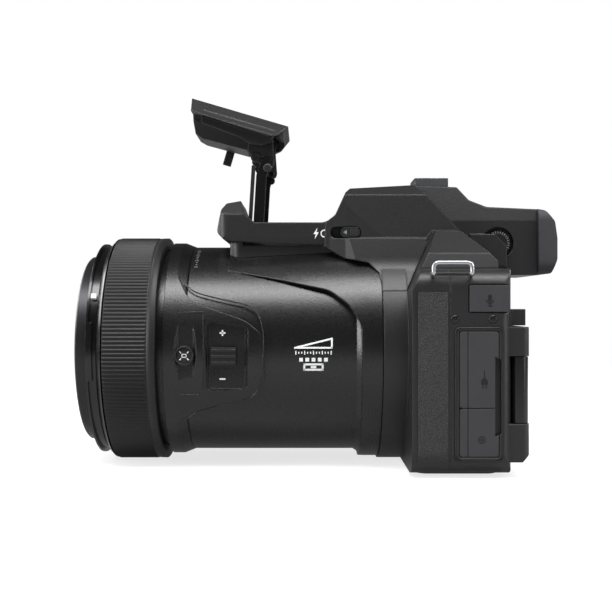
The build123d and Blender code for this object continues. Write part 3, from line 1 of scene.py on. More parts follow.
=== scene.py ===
import bpy
import bmesh
import math
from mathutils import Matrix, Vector


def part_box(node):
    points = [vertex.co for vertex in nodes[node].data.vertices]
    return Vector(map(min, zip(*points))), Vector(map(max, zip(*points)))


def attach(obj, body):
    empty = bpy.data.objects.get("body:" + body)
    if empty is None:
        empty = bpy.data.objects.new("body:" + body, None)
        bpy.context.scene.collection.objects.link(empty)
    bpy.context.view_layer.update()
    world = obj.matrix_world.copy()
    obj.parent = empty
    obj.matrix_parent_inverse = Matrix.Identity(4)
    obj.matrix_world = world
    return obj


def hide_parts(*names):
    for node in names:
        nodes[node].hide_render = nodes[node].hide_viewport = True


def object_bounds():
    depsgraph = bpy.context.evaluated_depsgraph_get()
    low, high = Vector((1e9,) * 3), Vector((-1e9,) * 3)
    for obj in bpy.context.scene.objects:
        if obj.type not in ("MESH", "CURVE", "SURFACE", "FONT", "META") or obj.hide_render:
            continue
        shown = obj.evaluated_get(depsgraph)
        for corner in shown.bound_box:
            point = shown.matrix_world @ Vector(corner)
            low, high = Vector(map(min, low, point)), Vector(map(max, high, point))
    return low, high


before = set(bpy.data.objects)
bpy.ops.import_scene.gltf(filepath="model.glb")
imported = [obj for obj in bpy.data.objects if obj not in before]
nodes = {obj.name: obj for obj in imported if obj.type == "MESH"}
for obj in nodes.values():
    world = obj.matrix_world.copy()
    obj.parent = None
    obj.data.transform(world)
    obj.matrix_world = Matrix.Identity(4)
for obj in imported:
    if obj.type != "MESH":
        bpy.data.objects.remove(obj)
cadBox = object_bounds()
print("frame loaded:", len(nodes), "nodes")

mm = 0.001
# where the photograph was taken from: level, and square to the object's left side
photo = {"side": 612, "focalPixels": 1000, "x": 447 * mm, "y": -60 * mm, "z": 67.2 * mm}


def fromPhoto(pixel, x):
    # the (y, z) that a pixel of the photograph shows at a distance x to the object's left
    scale = (photo["x"] - x) / photo["focalPixels"]
    across, down = (value - photo["side"] / 2 for value in pixel)
    return photo["y"] + across * scale, photo["z"] - down * scale


def linear(code):
    # sRGB hex to the linear colour that the shaders take
    parts = [int(code[i:i + 2], 16) / 255 for i in (0, 2, 4)]
    return tuple(p / 12.92 if p <= 0.04045 else ((p + 0.055) / 1.055) ** 2.4 for p in parts) + (1.0,)


def addNode(tree, kind, inputs=None, **settings):
    # one shader node with its settings, its values and its links
    node = tree.nodes.new("ShaderNode" + kind)
    for name, value in settings.items():
        setattr(node, name, value)
    for name, value in (inputs or {}).items():
        if isinstance(value, bpy.types.NodeSocket):
            tree.links.new(value, node.inputs[name])
        else:
            node.inputs[name].default_value = value
    return node


def newMaterial(name):
    material = bpy.data.materials.new(name)
    material.use_nodes = True
    material.node_tree.nodes.clear()
    return material, material.node_tree


def finishSurface(material, tree, shader):
    addNode(tree, "OutputMaterial", {"Surface": shader.outputs[0]})
    return material


# In every look below, grain, drift, haze, rib, depth and edge are in millimetres


def mouldedSurface(name, look):
    # a moulded, plated or painted surface: a fine grain in the bump and the roughness, a slow drift in
    # the colour, and edges that are rounded as the tool leaves them
    material, tree = newMaterial(name)
    place = addNode(tree, "TexCoord").outputs["Object"]
    grain = addNode(tree, "TexNoise", {"Vector": place, "Scale": 1 / (look["grain"] * mm), "Detail": 2.0,
                                       "Roughness": 0.6})
    drift = addNode(tree, "TexNoise", {"Vector": place, "Scale": 1 / (look["drift"] * mm), "Detail": 3.0})
    edge = addNode(tree, "Bevel", {"Radius": look["edge"] * mm}, samples=4)
    bump = addNode(tree, "Bump", {"Height": grain.outputs[0], "Distance": look["depth"] * mm,
                                  "Normal": edge.outputs[0], "Strength": 1.0})
    tone = addNode(tree, "MapRange", {"Value": drift.outputs[0], "From Min": 0.3, "From Max": 0.7,
                                      "To Min": 1 - look["spread"], "To Max": 1 + look["spread"]})
    colour = addNode(tree, "VectorMath", {0: linear(look["colour"])[:3], "Scale": tone.outputs[0]},
                     operation="SCALE")
    rough = addNode(tree, "MapRange", {"Value": grain.outputs[0], "From Min": 0.25, "From Max": 0.75,
                                       "To Min": look["rough"] - look["roughSpread"],
                                       "To Max": look["rough"] + look["roughSpread"]})
    shader = addNode(tree, "BsdfPrincipled", {
        "Base Color": colour.outputs[0], "Roughness": rough.outputs[0], "Normal": bump.outputs[0],
        "Metallic": look.get("metallic", 0.0), "Specular IOR Level": look.get("gloss", 0.5)})
    return finishSurface(material, tree, shader)


def leatherSurface(name, look):
    # embossed sheet: rounded pebbles between pressed furrows, with painted shade darkening the furrows
    material, tree = newMaterial(name)
    place = addNode(tree, "TexCoord").outputs["Object"]
    wobble = addNode(tree, "TexNoise", {"Vector": place, "Scale": 1 / (look["grain"] * 2 * mm),
                                        "Detail": 2.0})
    shift = addNode(tree, "VectorMath", {0: wobble.outputs["Color"], 1: (look["grain"] * mm,) * 3},
                    operation="MULTIPLY")
    warped = addNode(tree, "VectorMath", {0: place, 1: shift.outputs[0]}, operation="ADD")
    pebble = addNode(tree, "TexVoronoi", {"Vector": warped.outputs[0], "Scale": 1 / (look["grain"] * mm)},
                     feature="DISTANCE_TO_EDGE")
    crown = addNode(tree, "MapRange", {"Value": pebble.outputs["Distance"], "From Min": 0.0,
                                       "From Max": 0.32}, interpolation_type="SMOOTHSTEP")
    edge = addNode(tree, "Bevel", {"Radius": look["edge"] * mm}, samples=4)
    bump = addNode(tree, "Bump", {"Height": crown.outputs[0], "Distance": look["depth"] * mm,
                                  "Normal": edge.outputs[0], "Strength": 1.0})
    # painted shade: the colour darkens from the pebble crowns down into the furrows
    colour = addNode(tree, "Mix", {"Factor": crown.outputs[0], "A": linear(look["furrowShade"]),
                                   "B": linear(look["colour"])}, data_type="RGBA")
    shader = addNode(tree, "BsdfPrincipled", {
        "Base Color": colour.outputs[2], "Normal": bump.outputs[0], "Roughness": look["rough"],
        "Specular IOR Level": look["gloss"]})
    return finishSurface(material, tree, shader)


def glassSurface(name, look):
    # coated glass: see-through, with a coloured sheen from its coating and a trace of haze
    material, tree = newMaterial(name)
    place = addNode(tree, "TexCoord").outputs["Object"]
    haze = addNode(tree, "TexNoise", {"Vector": place, "Scale": 1 / (look["haze"] * mm), "Detail": 2.0})
    rough = addNode(tree, "MapRange", {"Value": haze.outputs[0], "To Min": look["rough"],
                                       "To Max": look["rough"] * 2})
    shader = addNode(tree, "BsdfPrincipled", {
        "Base Color": linear(look["colour"]), "Roughness": rough.outputs[0], "IOR": look["ior"],
        "Transmission Weight": look["clear"], "Coat Weight": look["coat"], "Coat Roughness": 0.02,
        "Coat Tint": linear(look["sheen"])})
    return finishSurface(material, tree, shader)


def ribbedClear(name, look):
    # a clear moulding with upright ribs side by side, its colour darkened in each rib's valley as painted
    # shade
    material, tree = newMaterial(name)
    place = addNode(tree, "TexCoord").outputs["Object"]
    ribs = addNode(tree, "TexWave", {"Vector": place, "Scale": 0.5 / (look["rib"] * mm) / math.pi,
                                     "Distortion": 0.0}, wave_type="BANDS", bands_direction="X")
    bump = addNode(tree, "Bump", {"Height": ribs.outputs[0], "Distance": look["depth"] * mm, "Strength": 1.0})
    # painted shade: each rib's valley is coloured darker than its crest
    tone = addNode(tree, "MapRange", {"Value": ribs.outputs[0], "To Min": 0.82, "To Max": 1.0})
    colour = addNode(tree, "VectorMath", {0: linear(look["colour"])[:3], "Scale": tone.outputs[0]},
                     operation="SCALE")
    shader = addNode(tree, "BsdfPrincipled", {
        "Base Color": colour.outputs[0], "Roughness": look["rough"], "IOR": look["ior"],
        "Transmission Weight": look["clear"], "Normal": bump.outputs[0]})
    return finishSurface(material, tree, shader)


def printedInk(name, look):
    # pad-printed ink: flat, with a fine break-up from the mould grain under it
    material, tree = newMaterial(name)
    place = addNode(tree, "TexCoord").outputs["Object"]
    speck = addNode(tree, "TexNoise", {"Vector": place, "Scale": 1 / (look["grain"] * mm), "Detail": 2.0})
    tone = addNode(tree, "MapRange", {"Value": speck.outputs[0], "To Min": 1 - look["spread"], "To Max": 1.0})
    colour = addNode(tree, "VectorMath", {0: linear(look["colour"])[:3], "Scale": tone.outputs[0]},
                     operation="SCALE")
    shader = addNode(tree, "BsdfPrincipled", {"Base Color": colour.outputs[0], "Roughness": look["rough"]})
    return finishSurface(material, tree, shader)


# Polycarbonate from a spark-eroded mould: matt black with a fine sparkle.
# The real grit is about 0.3 mm, drawn coarser so that it shows.
texturedPolycarbonate = mouldedSurface("texturedPolycarbonate", {
    "colour": "1b1b1c", "rough": 0.42, "roughSpread": 0.05, "grain": 0.75, "depth": 0.04, "drift": 30,
    "spread": 0.06, "edge": 0.9, "gloss": 0.46})
# The lens barrel is the same resin from a smoother mould, so its highlight is tighter.
# Its grain of about 0.2 mm is drawn coarser too.
satinPolycarbonate = mouldedSurface("satinPolycarbonate", {
    "colour": "0e0e0f", "rough": 0.30, "roughSpread": 0.05, "grain": 0.7, "depth": 0.042, "drift": 40,
    "spread": 0.05, "edge": 0.7, "gloss": 0.5})
# Silicone rubber, moulded smooth: dark grey and quite dull
siliconeRubber = mouldedSurface("siliconeRubber", {
    "colour": "353538", "rough": 0.6, "roughSpread": 0.04, "grain": 0.5, "depth": 0.008, "drift": 12,
    "spread": 0.05, "edge": 0.6, "gloss": 0.3})
# Nitrile rubber, moulded with ribs and slightly worn: near black, with a dull sheen along each crest
ribbedRubber = mouldedSurface("ribbedRubber", {
    "colour": "121213", "rough": 0.48, "roughSpread": 0.05, "grain": 0.4, "depth": 0.008, "drift": 10,
    "spread": 0.08, "edge": 0.15, "gloss": 0.4})
# ABS from a polished mould: deep black with sharp reflections
polishedAbs = mouldedSurface("polishedAbs", {
    "colour": "0c0c0d", "rough": 0.2, "roughSpread": 0.02, "grain": 2.0, "depth": 0.002, "drift": 25,
    "spread": 0.05, "edge": 0.3, "gloss": 0.5})
# ABS from a lightly blasted mould: black with a broad, soft highlight
satinAbs = mouldedSurface("satinAbs", {
    "colour": "19191a", "rough": 0.4, "roughSpread": 0.04, "grain": 0.6, "depth": 0.012, "drift": 15,
    "spread": 0.05, "edge": 0.25, "gloss": 0.45})
# Turned aluminium, bead blasted and anodised black: charcoal with a dim metal glint
anodisedAluminium = mouldedSurface("anodisedAluminium", {
    "colour": "2b2b2d", "rough": 0.36, "roughSpread": 0.05, "grain": 0.35, "depth": 0.006, "drift": 8,
    "spread": 0.06, "edge": 0.2, "gloss": 0.5, "metallic": 0.6})
# Bent spring steel, satin nickel plated: pale, with soft streaks of light
platedSteel = mouldedSurface("platedSteel", {
    "colour": "bfc0c3", "rough": 0.34, "roughSpread": 0.05, "grain": 0.5, "depth": 0.004, "drift": 6,
    "spread": 0.08, "edge": 0.3, "metallic": 1.0})
# Stamped steel under dark nickel: a smoky grey metal
darkNickel = mouldedSurface("darkNickel", {
    "colour": "77787b", "rough": 0.36, "roughSpread": 0.05, "grain": 0.6, "depth": 0.004, "drift": 5,
    "spread": 0.08, "edge": 0.3, "metallic": 0.9})
# Turned aluminium, chemically blackened: matt, so that a lens cell doesn't mirror stray light
blackenedAluminium = mouldedSurface("blackenedAluminium", {
    "colour": "0b0b0c", "rough": 0.5, "roughSpread": 0.03, "grain": 1.5, "depth": 0.001, "drift": 12,
    "spread": 0.1, "edge": 0.3, "gloss": 0.3})
# Gold plated brass contacts: warm and bright
goldPlating = mouldedSurface("goldPlating", {
    "colour": "d9b25a", "rough": 0.3, "roughSpread": 0.05, "grain": 0.5, "depth": 0.002, "drift": 4,
    "spread": 0.08, "edge": 0.1, "metallic": 1.0})
# Pressed steel under baked black paint: even, with the paint's faint orange peel
paintedSteel = mouldedSurface("paintedSteel", {
    "colour": "1d1d1e", "rough": 0.4, "roughSpread": 0.05, "grain": 0.5, "depth": 0.01, "drift": 10,
    "spread": 0.06, "edge": 0.25, "gloss": 0.45})
# Glass-fibre laminate under green solder resist: a mottled green with a wet look
greenLaminate = mouldedSurface("greenLaminate", {
    "colour": "123f22", "rough": 0.35, "roughSpread": 0.05, "grain": 0.8, "depth": 0.01, "drift": 5,
    "spread": 0.2, "edge": 0.1, "gloss": 0.5})
# Rubber sheet embossed like leather: grey pebbles, with painted shade darkening the furrows between them.
# The real pebbles are about 0.5 mm wide, drawn coarser so that they show.
rubberLeatherette = leatherSurface("rubberLeatherette", {
    "colour": "373738", "furrowShade": "252526", "grain": 0.8, "depth": 0.10, "edge": 0.3, "rough": 0.6,
    "gloss": 0.35})
# Optical glass, polished and coated: clear, with a faint violet sheen
coatedGlass = glassSurface("coatedGlass", {
    "colour": "a9b4bd", "sheen": "e6e9fb", "ior": 1.5, "clear": 1.0, "coat": 0.25, "rough": 0.01, "haze": 8})
# Toughened glass over a display that is off: black, with a mirror reflection
blackGlass = mouldedSurface("blackGlass", {
    "colour": "08090b", "rough": 0.07, "roughSpread": 0.01, "grain": 6.0, "depth": 0.001, "drift": 30,
    "spread": 0.1, "edge": 0.2, "gloss": 0.6})
# Clear acrylic moulded with ribs, over a bright reflector: milky, with fine upright lines of painted shade in
# the rib valleys
ribbedAcrylic = ribbedClear("ribbedAcrylic", {
    "colour": "dfe2e3", "rib": 0.7, "depth": 0.12, "rough": 0.12, "ior": 1.49, "clear": 0.25})
# Pad-printed epoxy inks, dull and opaque: white for signs, grey for scales, red for filming.
# The dark one is print on the covers, and painted shade in the screws' cross recesses and along the frame's
# edge.
whiteInk = printedInk("whiteInk", {"colour": "e8e9ea", "grain": 0.4, "spread": 0.12, "rough": 0.5})
greyInk = printedInk("greyInk", {"colour": "77797c", "grain": 0.4, "spread": 0.12, "rough": 0.5})
redInk = printedInk("redInk", {"colour": "b3242a", "grain": 0.4, "spread": 0.12, "rough": 0.45})
darkInkAndShade = printedInk("darkInkAndShade", {"colour": "0b0b0c", "grain": 0.4, "spread": 0.2, "rough": 0.5})
print("materials ready")

finishOf = {
    texturedPolycarbonate: ["front_shell", "rear_cover", "top_cover", "shoulder_cover", "viewfinder_housing",
                            "flash_head", "connector_frame", "battery_door"],
    satinPolycarbonate: ["lens_housing", "lens_control_panel"],
    siliconeRubber: ["mic_cover", "upper_connector_cover", "lower_connector_cover", "eyecup"],
    ribbedRubber: ["control_ring"],
    polishedAbs: ["front_bezel", "monitor_arm", "flash_arm"],
    satinAbs: ["snap_back_button", "zoom_slide_lever", "flash_slider", "monitor_frame", "power_button",
               "fn_button", "movie_button", "ok_button", "playback_button", "display_button", "menu_button",
               "delete_button", "focus_selector", "multi_selector", "battery_latch", "battery",
               "memory_card"],
    anodisedAluminium: ["mode_dial", "command_dial", "diopter_dial", "zoom_ring_lever", "shutter_button",
                        "zoom_tube_outer", "zoom_tube_front", "front_rim"],
    blackenedAluminium: ["zoom_lens_group", "rear_lens_group"],
    platedSteel: ["strap_lugs", "tripod_socket"],
    darkNickel: ["hot_shoe"],
    paintedSteel: ["screws", "base_plate", "flash_link"],
    greenLaminate: ["main_board", "image_sensor"],
    rubberLeatherette: ["leatherette_left", "grip_rubber"],
    coatedGlass: ["front_element", "eyepiece_lens"],
    blackGlass: ["monitor_glass", "viewfinder_display"],
    ribbedAcrylic: ["flash_window"],
}
for finish, names in finishOf.items():
    for name in names:
        for materialSlot in nodes[name].material_slots:
            materialSlot.material = finish
print("nodes finished:", sum(len(names) for names in finishOf.values()), "of", len(nodes))


def addPiece(name, verts, faces, finish, body, smooth=False):
    mesh = bpy.data.meshes.new(name)
    mesh.from_pydata(verts, [], faces)
    mesh.materials.append(finish)
    if smooth:
        mesh.polygons.foreach_set("use_smooth", [True] * len(mesh.polygons))
    mesh.update()
    piece = bpy.data.objects.new(name, mesh)
    bpy.context.scene.collection.objects.link(piece)
    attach(piece, body)
    return piece


def fixNormals(piece, smoothBelow=35):
    # all faces turned outward, and shaded smooth across edges under so many degrees
    work = bmesh.new()
    work.from_mesh(piece.data)
    bmesh.ops.recalc_face_normals(work, faces=work.faces[:])
    for face in work.faces:
        face.smooth = True
    for edge in work.edges:
        edge.smooth = not edge.is_manifold or edge.calc_face_angle(0.0) < math.radians(smoothBelow)
    work.to_mesh(piece.data)
    work.free()


def sweepRound(rings, count):
    # faces between equal rings of points, closed round
    faces = []
    for ring in range(rings - 1):
        for i in range(count):
            j = (i + 1) % count
            faces.append((ring * count + i, ring * count + j, (ring + 1) * count + j, (ring + 1) * count + i))
    return faces


def middleOf(node, axes):
    # the middle of a node's box along two axes, and the box's upper corner
    low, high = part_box(node)
    return tuple((getattr(low, axis) + getattr(high, axis)) / 2 for axis in axes), high


ringLow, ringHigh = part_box("control_ring")
lensAxis = Vector((0, 0, (ringLow.z + ringHigh.z) / 2))


# Each of the next functions gives a place function for a surface: it turns (u, v) along the surface and a
# rise above it into a point. Seen from outside, u runs to the right and v up.


def onBarrel(centre, radius):
    # round the lens axis, about a centre (y, z): u runs back along the barrel
    middle = math.asin((centre[1] - lensAxis.z) / radius)

    def place(u, v, rise):
        angle = middle + v / radius
        out = radius + rise
        return (out * math.cos(angle), centre[0] + u, lensAxis.z + out * math.sin(angle))
    return place


def onSide(centre, x, side=1):
    # flat and facing the object's left, or its right where side is -1, about a centre (y, z)
    def place(u, v, rise):
        return (side * (x + rise), centre[0] + side * u, centre[1] + v)
    return place


def onSideAt(pixel, x, side=1):
    # the same about the point that a pixel of the photograph shows at x
    return onSide(fromPhoto(pixel, x), x, side)


def onTop(centre, z):
    # flat and facing up, about a centre (x, y)
    def place(u, v, rise):
        return (centre[0] + u, centre[1] + v, z + rise)
    return place


def onBack(centre, y):
    # flat and facing back, about a centre (x, z)
    def place(u, v, rise):
        return (centre[0] - u, y + rise, centre[1] + v)
    return place


def onFront(centre, y):
    # flat and facing forward, about a centre (x, z)
    def place(u, v, rise):
        return (centre[0] + u, y - rise, centre[1] + v)
    return place


def addTurned(name, profile, place, body, finish, count=36, capped=True):
    # a turned shape about a point of a surface; the profile gives (radius, rise) in millimetres
    verts = []
    for radius, rise in profile:
        for i in range(count):
            angle = 2 * math.pi * i / count
            verts.append(place(radius * mm * math.cos(angle), radius * mm * math.sin(angle), rise * mm))
    faces = sweepRound(len(profile), count)
    if capped:
        faces += [tuple(range(count)), tuple(range((len(profile) - 1) * count, len(profile) * count))]
    piece = addPiece(name, verts, faces, finish, body)
    fixNormals(piece)
    return piece


def addWire(name, path, radius, body, finish, count=14):
    # a round wire along a path
    verts = []
    upright = abs((path[1] - path[0]).normalized().z) >= 0.9
    side = Vector((1, 0, 0)) if upright else Vector((0, 0, 1))
    for i, point in enumerate(path):
        ahead = (path[min(i + 1, len(path) - 1)] - path[max(i - 1, 0)]).normalized()
        side = (side - ahead * side.dot(ahead)).normalized()
        other = ahead.cross(side)
        for k in range(count):
            angle = 2 * math.pi * k / count
            verts.append(point + (side * math.cos(angle) + other * math.sin(angle)) * radius)
    faces = sweepRound(len(path), count)
    faces += [tuple(range(count)), tuple(range((len(path) - 1) * count, len(path) * count))]
    piece = addPiece(name, verts, faces, finish, body)
    fixNormals(piece)
    return piece


def printMark(name, outlines, place, body, finish=whiteInk, rise=0.06, step=0.8, sunk=0.02):
    # thin raised shapes on a surface, all in millimetres; they are cut across at every step, so that
    # they follow a round surface, and their undersides are sunk a little
    work = bmesh.new()
    for outline in outlines:
        work.faces.new([work.verts.new((u * mm, v * mm, 0)) for u, v in outline])
    bmesh.ops.triangulate(work, faces=work.faces[:])
    cut = min(v.co.y for v in work.verts) + step * mm
    top = max(v.co.y for v in work.verts)
    while cut < top:
        bmesh.ops.bisect_plane(work, geom=work.verts[:] + work.edges[:] + work.faces[:],
                               plane_co=(0, cut, 0), plane_no=(0, 1, 0), dist=1e-7)
        cut += step * mm
    flat = [v.co.copy() for v in work.verts]
    work.verts.index_update()
    faces = [[v.index for v in face.verts] for face in work.faces]
    work.free()
    count = len(flat)
    verts = [place(co.x, co.y, rise * mm) for co in flat] + [place(co.x, co.y, -sunk * mm) for co in flat]
    edges = dict.fromkeys((a, b) for face in faces for a, b in zip(face, face[1:] + face[:1]))
    solid = [tuple(face) for face in faces] + [tuple(i + count for i in reversed(face)) for face in faces]
    solid += [(b, a, a + count, b + count) for a, b in edges if (b, a) not in edges]
    return addPiece(name, verts, solid, finish, body)


# Outlines for printed marks, in millimetres and anticlockwise


def bar(u, v, wide, high):
    return [(u - wide / 2, v - high / 2), (u + wide / 2, v - high / 2), (u + wide / 2, v + high / 2),
            (u - wide / 2, v + high / 2)]


def stroke(points, wide):
    # a line of even width along points, as separate quads
    shapes = []
    for (u0, v0), (u1, v1) in zip(points, points[1:]):
        length = math.hypot(u1 - u0, v1 - v0)
        du, dv = (u1 - u0) / length * wide / 2, (v1 - v0) / length * wide / 2
        shapes.append([(u0 - du - dv, v0 - dv + du), (u0 - du + dv, v0 - dv - du),
                       (u1 + du + dv, v1 + dv - du), (u1 + du - dv, v1 + dv + du)])
    return shapes


def boxStroke(halfWide, halfHigh, wide):
    corners = [(-halfWide, -halfHigh), (halfWide, -halfHigh), (halfWide, halfHigh), (-halfWide, halfHigh)]
    return stroke(corners + corners[:1], wide)


def arcStroke(radius, wide, start, stop, count=16):
    angles = [math.radians(start + (stop - start) * i / count) for i in range(count + 1)]
    outer, inner = radius + wide / 2, radius - wide / 2
    return [[(outer * math.cos(a), outer * math.sin(a)), (outer * math.cos(b), outer * math.sin(b)),
             (inner * math.cos(b), inner * math.sin(b)), (inner * math.cos(a), inner * math.sin(a))]
            for a, b in zip(angles, angles[1:])]


def roundedRect(halfWide, halfHigh, radius, steps=6):
    outline = []
    wide, high = halfWide - radius, halfHigh - radius
    for quarter, (u, v) in enumerate(((wide, high), (-wide, high), (-wide, -high), (wide, -high))):
        for i in range(steps + 1):
            angle = math.radians(90 * (quarter + i / steps))
            outline.append((u + radius * math.cos(angle), v + radius * math.sin(angle)))
    return outline


def capsule(radius, low, high, step=20):
    # a standing oblong with round ends about two centres
    return [(radius * math.cos(math.radians(a)), v + radius * math.sin(math.radians(a)))
            for v, start in ((high, 0), (low, 180)) for a in range(start, start + 181, step)]


def moved(shapes, du, dv):
    return [[(u + du, v + dv) for u, v in shape] for shape in shapes]


def turned(shapes, angle, radius=0.0):
    # shapes moved out to a radius and turned about the centre
    c, s = math.cos(angle), math.sin(angle)
    return [[((radius + u) * c - v * s, (radius + u) * s + v * c) for u, v in shape] for shape in shapes]


def buildControlRing():
    # moulded rubber sleeve: fine rounded ribs along most of its width, then a smooth flange
    size = {"ribs": 184, "ribDepth": 0.55 * mm, "flange": 3.3 * mm, "bore": 43.3 * mm,
            "radius": (ringHigh.x - ringLow.x) / 2, "frontStep": 0.5 * mm, "chamfer": 0.3 * mm,
            "flangeAlong": 0.2 * mm, "flangeDip": 0.1 * mm,
            # how the ribs rise at the front and end before the flange: a distance and a share of height
            "riseShares": ((0.25 * mm, 0), (0.5 * mm, 0.6), (0.9 * mm, 1)),
            "fallShares": ((1.1 * mm, 1), (0.6 * mm, 0.6), (0.4 * mm, 0), (0.1 * mm, 0)),
            # across one rib: a share of its pitch and a share of its height
            "ribShares": ((0.0, 0.0), (0.16, 0.06), (0.3, 0.55), (0.5, 1.0), (0.7, 0.55), (0.84, 0.06))}
    front, back = ringLow.y, ringHigh.y
    ribEnd = back - size["flange"]
    furrowShade = size["radius"] - size["ribDepth"]
    # each station: place along the axis, radius of the furrow, share of the rib height
    stations = [(front, size["bore"], 0), (front, furrowShade - size["frontStep"], 0)]
    stations += [(front + along, furrowShade, share) for along, share in size["riseShares"]]
    stations += [(ribEnd - along, furrowShade, share) for along, share in size["fallShares"]]
    stations += [(ribEnd + size["flangeAlong"], size["radius"] - size["flangeDip"], 0),
                 (back - size["chamfer"], size["radius"], 0), (back, size["radius"] - size["chamfer"], 0),
                 (back, size["bore"], 0)]
    verts = []
    for y, radius, height in stations:
        for rib in range(size["ribs"]):
            for share, crest in size["ribShares"]:
                angle = 2 * math.pi * (rib + share) / size["ribs"]
                r = radius + size["ribDepth"] * crest * height
                verts.append((r * math.cos(angle), y, lensAxis.z + r * math.sin(angle)))
    faces = sweepRound(len(stations), size["ribs"] * len(size["ribShares"]))
    piece = addPiece("controlRing", verts, faces, ribbedRubber, "lens_ring", smooth=True)
    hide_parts("control_ring")


def buildLensSigns():
    # the signs of the zoom lever and the snap-back button, and the barrel's pictogram and tick scale
    size = {"panelX": 43.1 * mm, "telePixel": (222.5, 333), "widePixel": (222.5, 379), "sign": 2.4,
            "signLine": 0.62, "barrelRadius": 44.55 * mm, "barrelPixel": (313.5, 355),
            "scaleX": 24 * mm, "scalePixel": (197, 257), "scaleTicks": 11, "scalePitch": 1.6}
    minus = [bar(0, 0, size["sign"], size["signLine"])]
    plus = minus + [bar(0, 0, size["signLine"], size["sign"])]
    printMark("teleSign", plus, onSideAt(size["telePixel"], size["panelX"]), "camera_body")
    printMark("wideSign", minus, onSideAt(size["widePixel"], size["panelX"]), "camera_body")

    middle, high = middleOf("snap_back_button", "yz")
    viewFrame = boxStroke(0.85, 0.6, 0.3)
    for du, dv in ((1, 1), (1, -1), (-1, 1), (-1, -1)):
        viewFrame += stroke([(du * 1.3, dv * 1.15), (du * 1.75, dv * 1.6)], 0.36)
    printMark("snapBackSign", viewFrame, onSide(middle, high.x), "snap_back")

    # a rising wedge for the zoom, a ruler under it, five boxes and a plate
    wedge = stroke([(-7.4, 2.9), (7.4, 2.9), (7.4, 6.6), (-7.4, 2.9)], 0.7)
    ruler = [bar(-7.1 + 14.2 * i / 12, 0.9, 0.42, 1.5 if i % 3 == 0 else 0.8) for i in range(13)]
    boxes = [bar(-5.0 + 2.5 * i, -1.9, 1.5, 1.5) for i in range(5)]
    plate = [bar(0, -6.0, 8.2, 0.8), bar(0, -3.8, 8.2, 0.8), bar(-3.7, -4.9, 0.8, 3.0),
             bar(3.7, -4.9, 0.8, 3.0), bar(0, -4.9, 2.2, 1.0)]
    centre = fromPhoto(size["barrelPixel"], size["barrelRadius"])
    printMark("barrelSign", wedge + ruler + boxes + plate, onBarrel(centre, size["barrelRadius"]),
              "camera_body")

    # the tick scale stands high on the barrel, where the surface is nearer the middle
    half = size["scalePitch"] * (size["scaleTicks"] - 1) / 2
    scale = [bar(0, -half + size["scalePitch"] * i, 1.6 if i % 3 == 0 else 0.8, 0.3)
             for i in range(size["scaleTicks"])]
    centre = fromPhoto(size["scalePixel"], size["scaleX"])
    printMark("distanceScale", scale, onBarrel(centre, size["barrelRadius"]), "camera_body", greyInk)


def buildFlashSigns():
    # a bolt and an open ring beside the flash release
    size = {"x": 26.5 * mm, "boltPixel": (316, 233.5), "ringPixel": (324.5, 233.5), "ring": 1.45,
            "line": 0.45,
            "bolt": [(0.6, 2.4), (-1.1, -0.25), (-0.05, -0.25), (-0.6, -2.4), (1.15, 0.55), (0.1, 0.55)]}
    printMark("flashSign", [size["bolt"]], onSideAt(size["boltPixel"], size["x"]), "camera_body")
    ring = arcStroke(size["ring"], size["line"], 50, 310)
    printMark("openSign", ring, onSideAt(size["ringPixel"], size["x"]), "camera_body")


def buildBezelGlint():
    # a white block in the bezel's groove: a painted highlight for the glint on the glossy bezel band
    size = {"long": 2.2, "wide": 2.0, "pixel": (90.5, 297.5), "radius": 46.0 * mm, "groove": 44.6 * mm,
            "proud": 0.1}
    # painted highlight: the white ink here stands for a reflection of the light, not a printed mark
    printMark("bezelGlint", [bar(0, 0, size["long"], size["wide"])],
              onBarrel(fromPhoto(size["pixel"], size["radius"]), size["groove"]), "camera_body",
              rise=(size["radius"] - size["groove"]) / mm + size["proud"])


def buildFrontLens():
    # the front element: a polished dome with a flat back and a ground edge
    size = {"radius": 38.0, "bulge": 160.0, "rings": 14, "chamfer": 0.35, "tip": 0.4}
    low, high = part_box("front_element")
    thick = (high.y - low.y) / mm

    def sag(radius):
        return size["bulge"] - math.sqrt(size["bulge"] ** 2 - radius ** 2)

    edge = size["radius"] - size["chamfer"]
    profile = [(edge, -thick), (size["radius"], -thick + size["chamfer"]),
               (size["radius"], -sag(size["radius"]) - size["chamfer"])]
    for i in range(size["rings"]):
        radius = edge * (1 - i / size["rings"])
        profile.append((radius, -sag(radius)))
    profile.append((size["tip"], 0.0))
    piece = addTurned("frontLens", profile, onFront((0, lensAxis.z), low.y), "zoom_barrel_front", coatedGlass,
                      count=128)
    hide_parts("front_element")


def buildFilterThread():
    # fine rings of the filter thread inside the front rim
    size = {"pitch": 0.75, "turns": 4, "radius": 38.45, "depth": 0.3, "start": 0.5, "wall": 0.3}
    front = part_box("front_rim")[0].y
    profile = []
    for turn in range(size["turns"]):
        y = -(size["start"] + turn * size["pitch"])
        profile += [(size["radius"], y), (size["radius"] - size["depth"], y - size["pitch"] / 2)]
    end = -(size["start"] + size["turns"] * size["pitch"])
    outer = size["radius"] + size["wall"]
    profile += [(size["radius"], end), (outer, end), (outer, -size["start"]), profile[0]]
    addTurned("filterThread", profile, onFront((0, lensAxis.z), front), "zoom_barrel_front",
              anodisedAluminium, count=180, capped=False)


def roundCorner(before, corner, after, radius, steps=6):
    # the points of a smooth bend that takes a corner's place
    start = corner + (before - corner).normalized() * radius
    stop = corner + (after - corner).normalized() * radius
    points = []
    for i in range(steps + 1):
        t = i / steps
        points.append(start * (1 - t) ** 2 + corner * 2 * t * (1 - t) + stop * t ** 2)
    return points


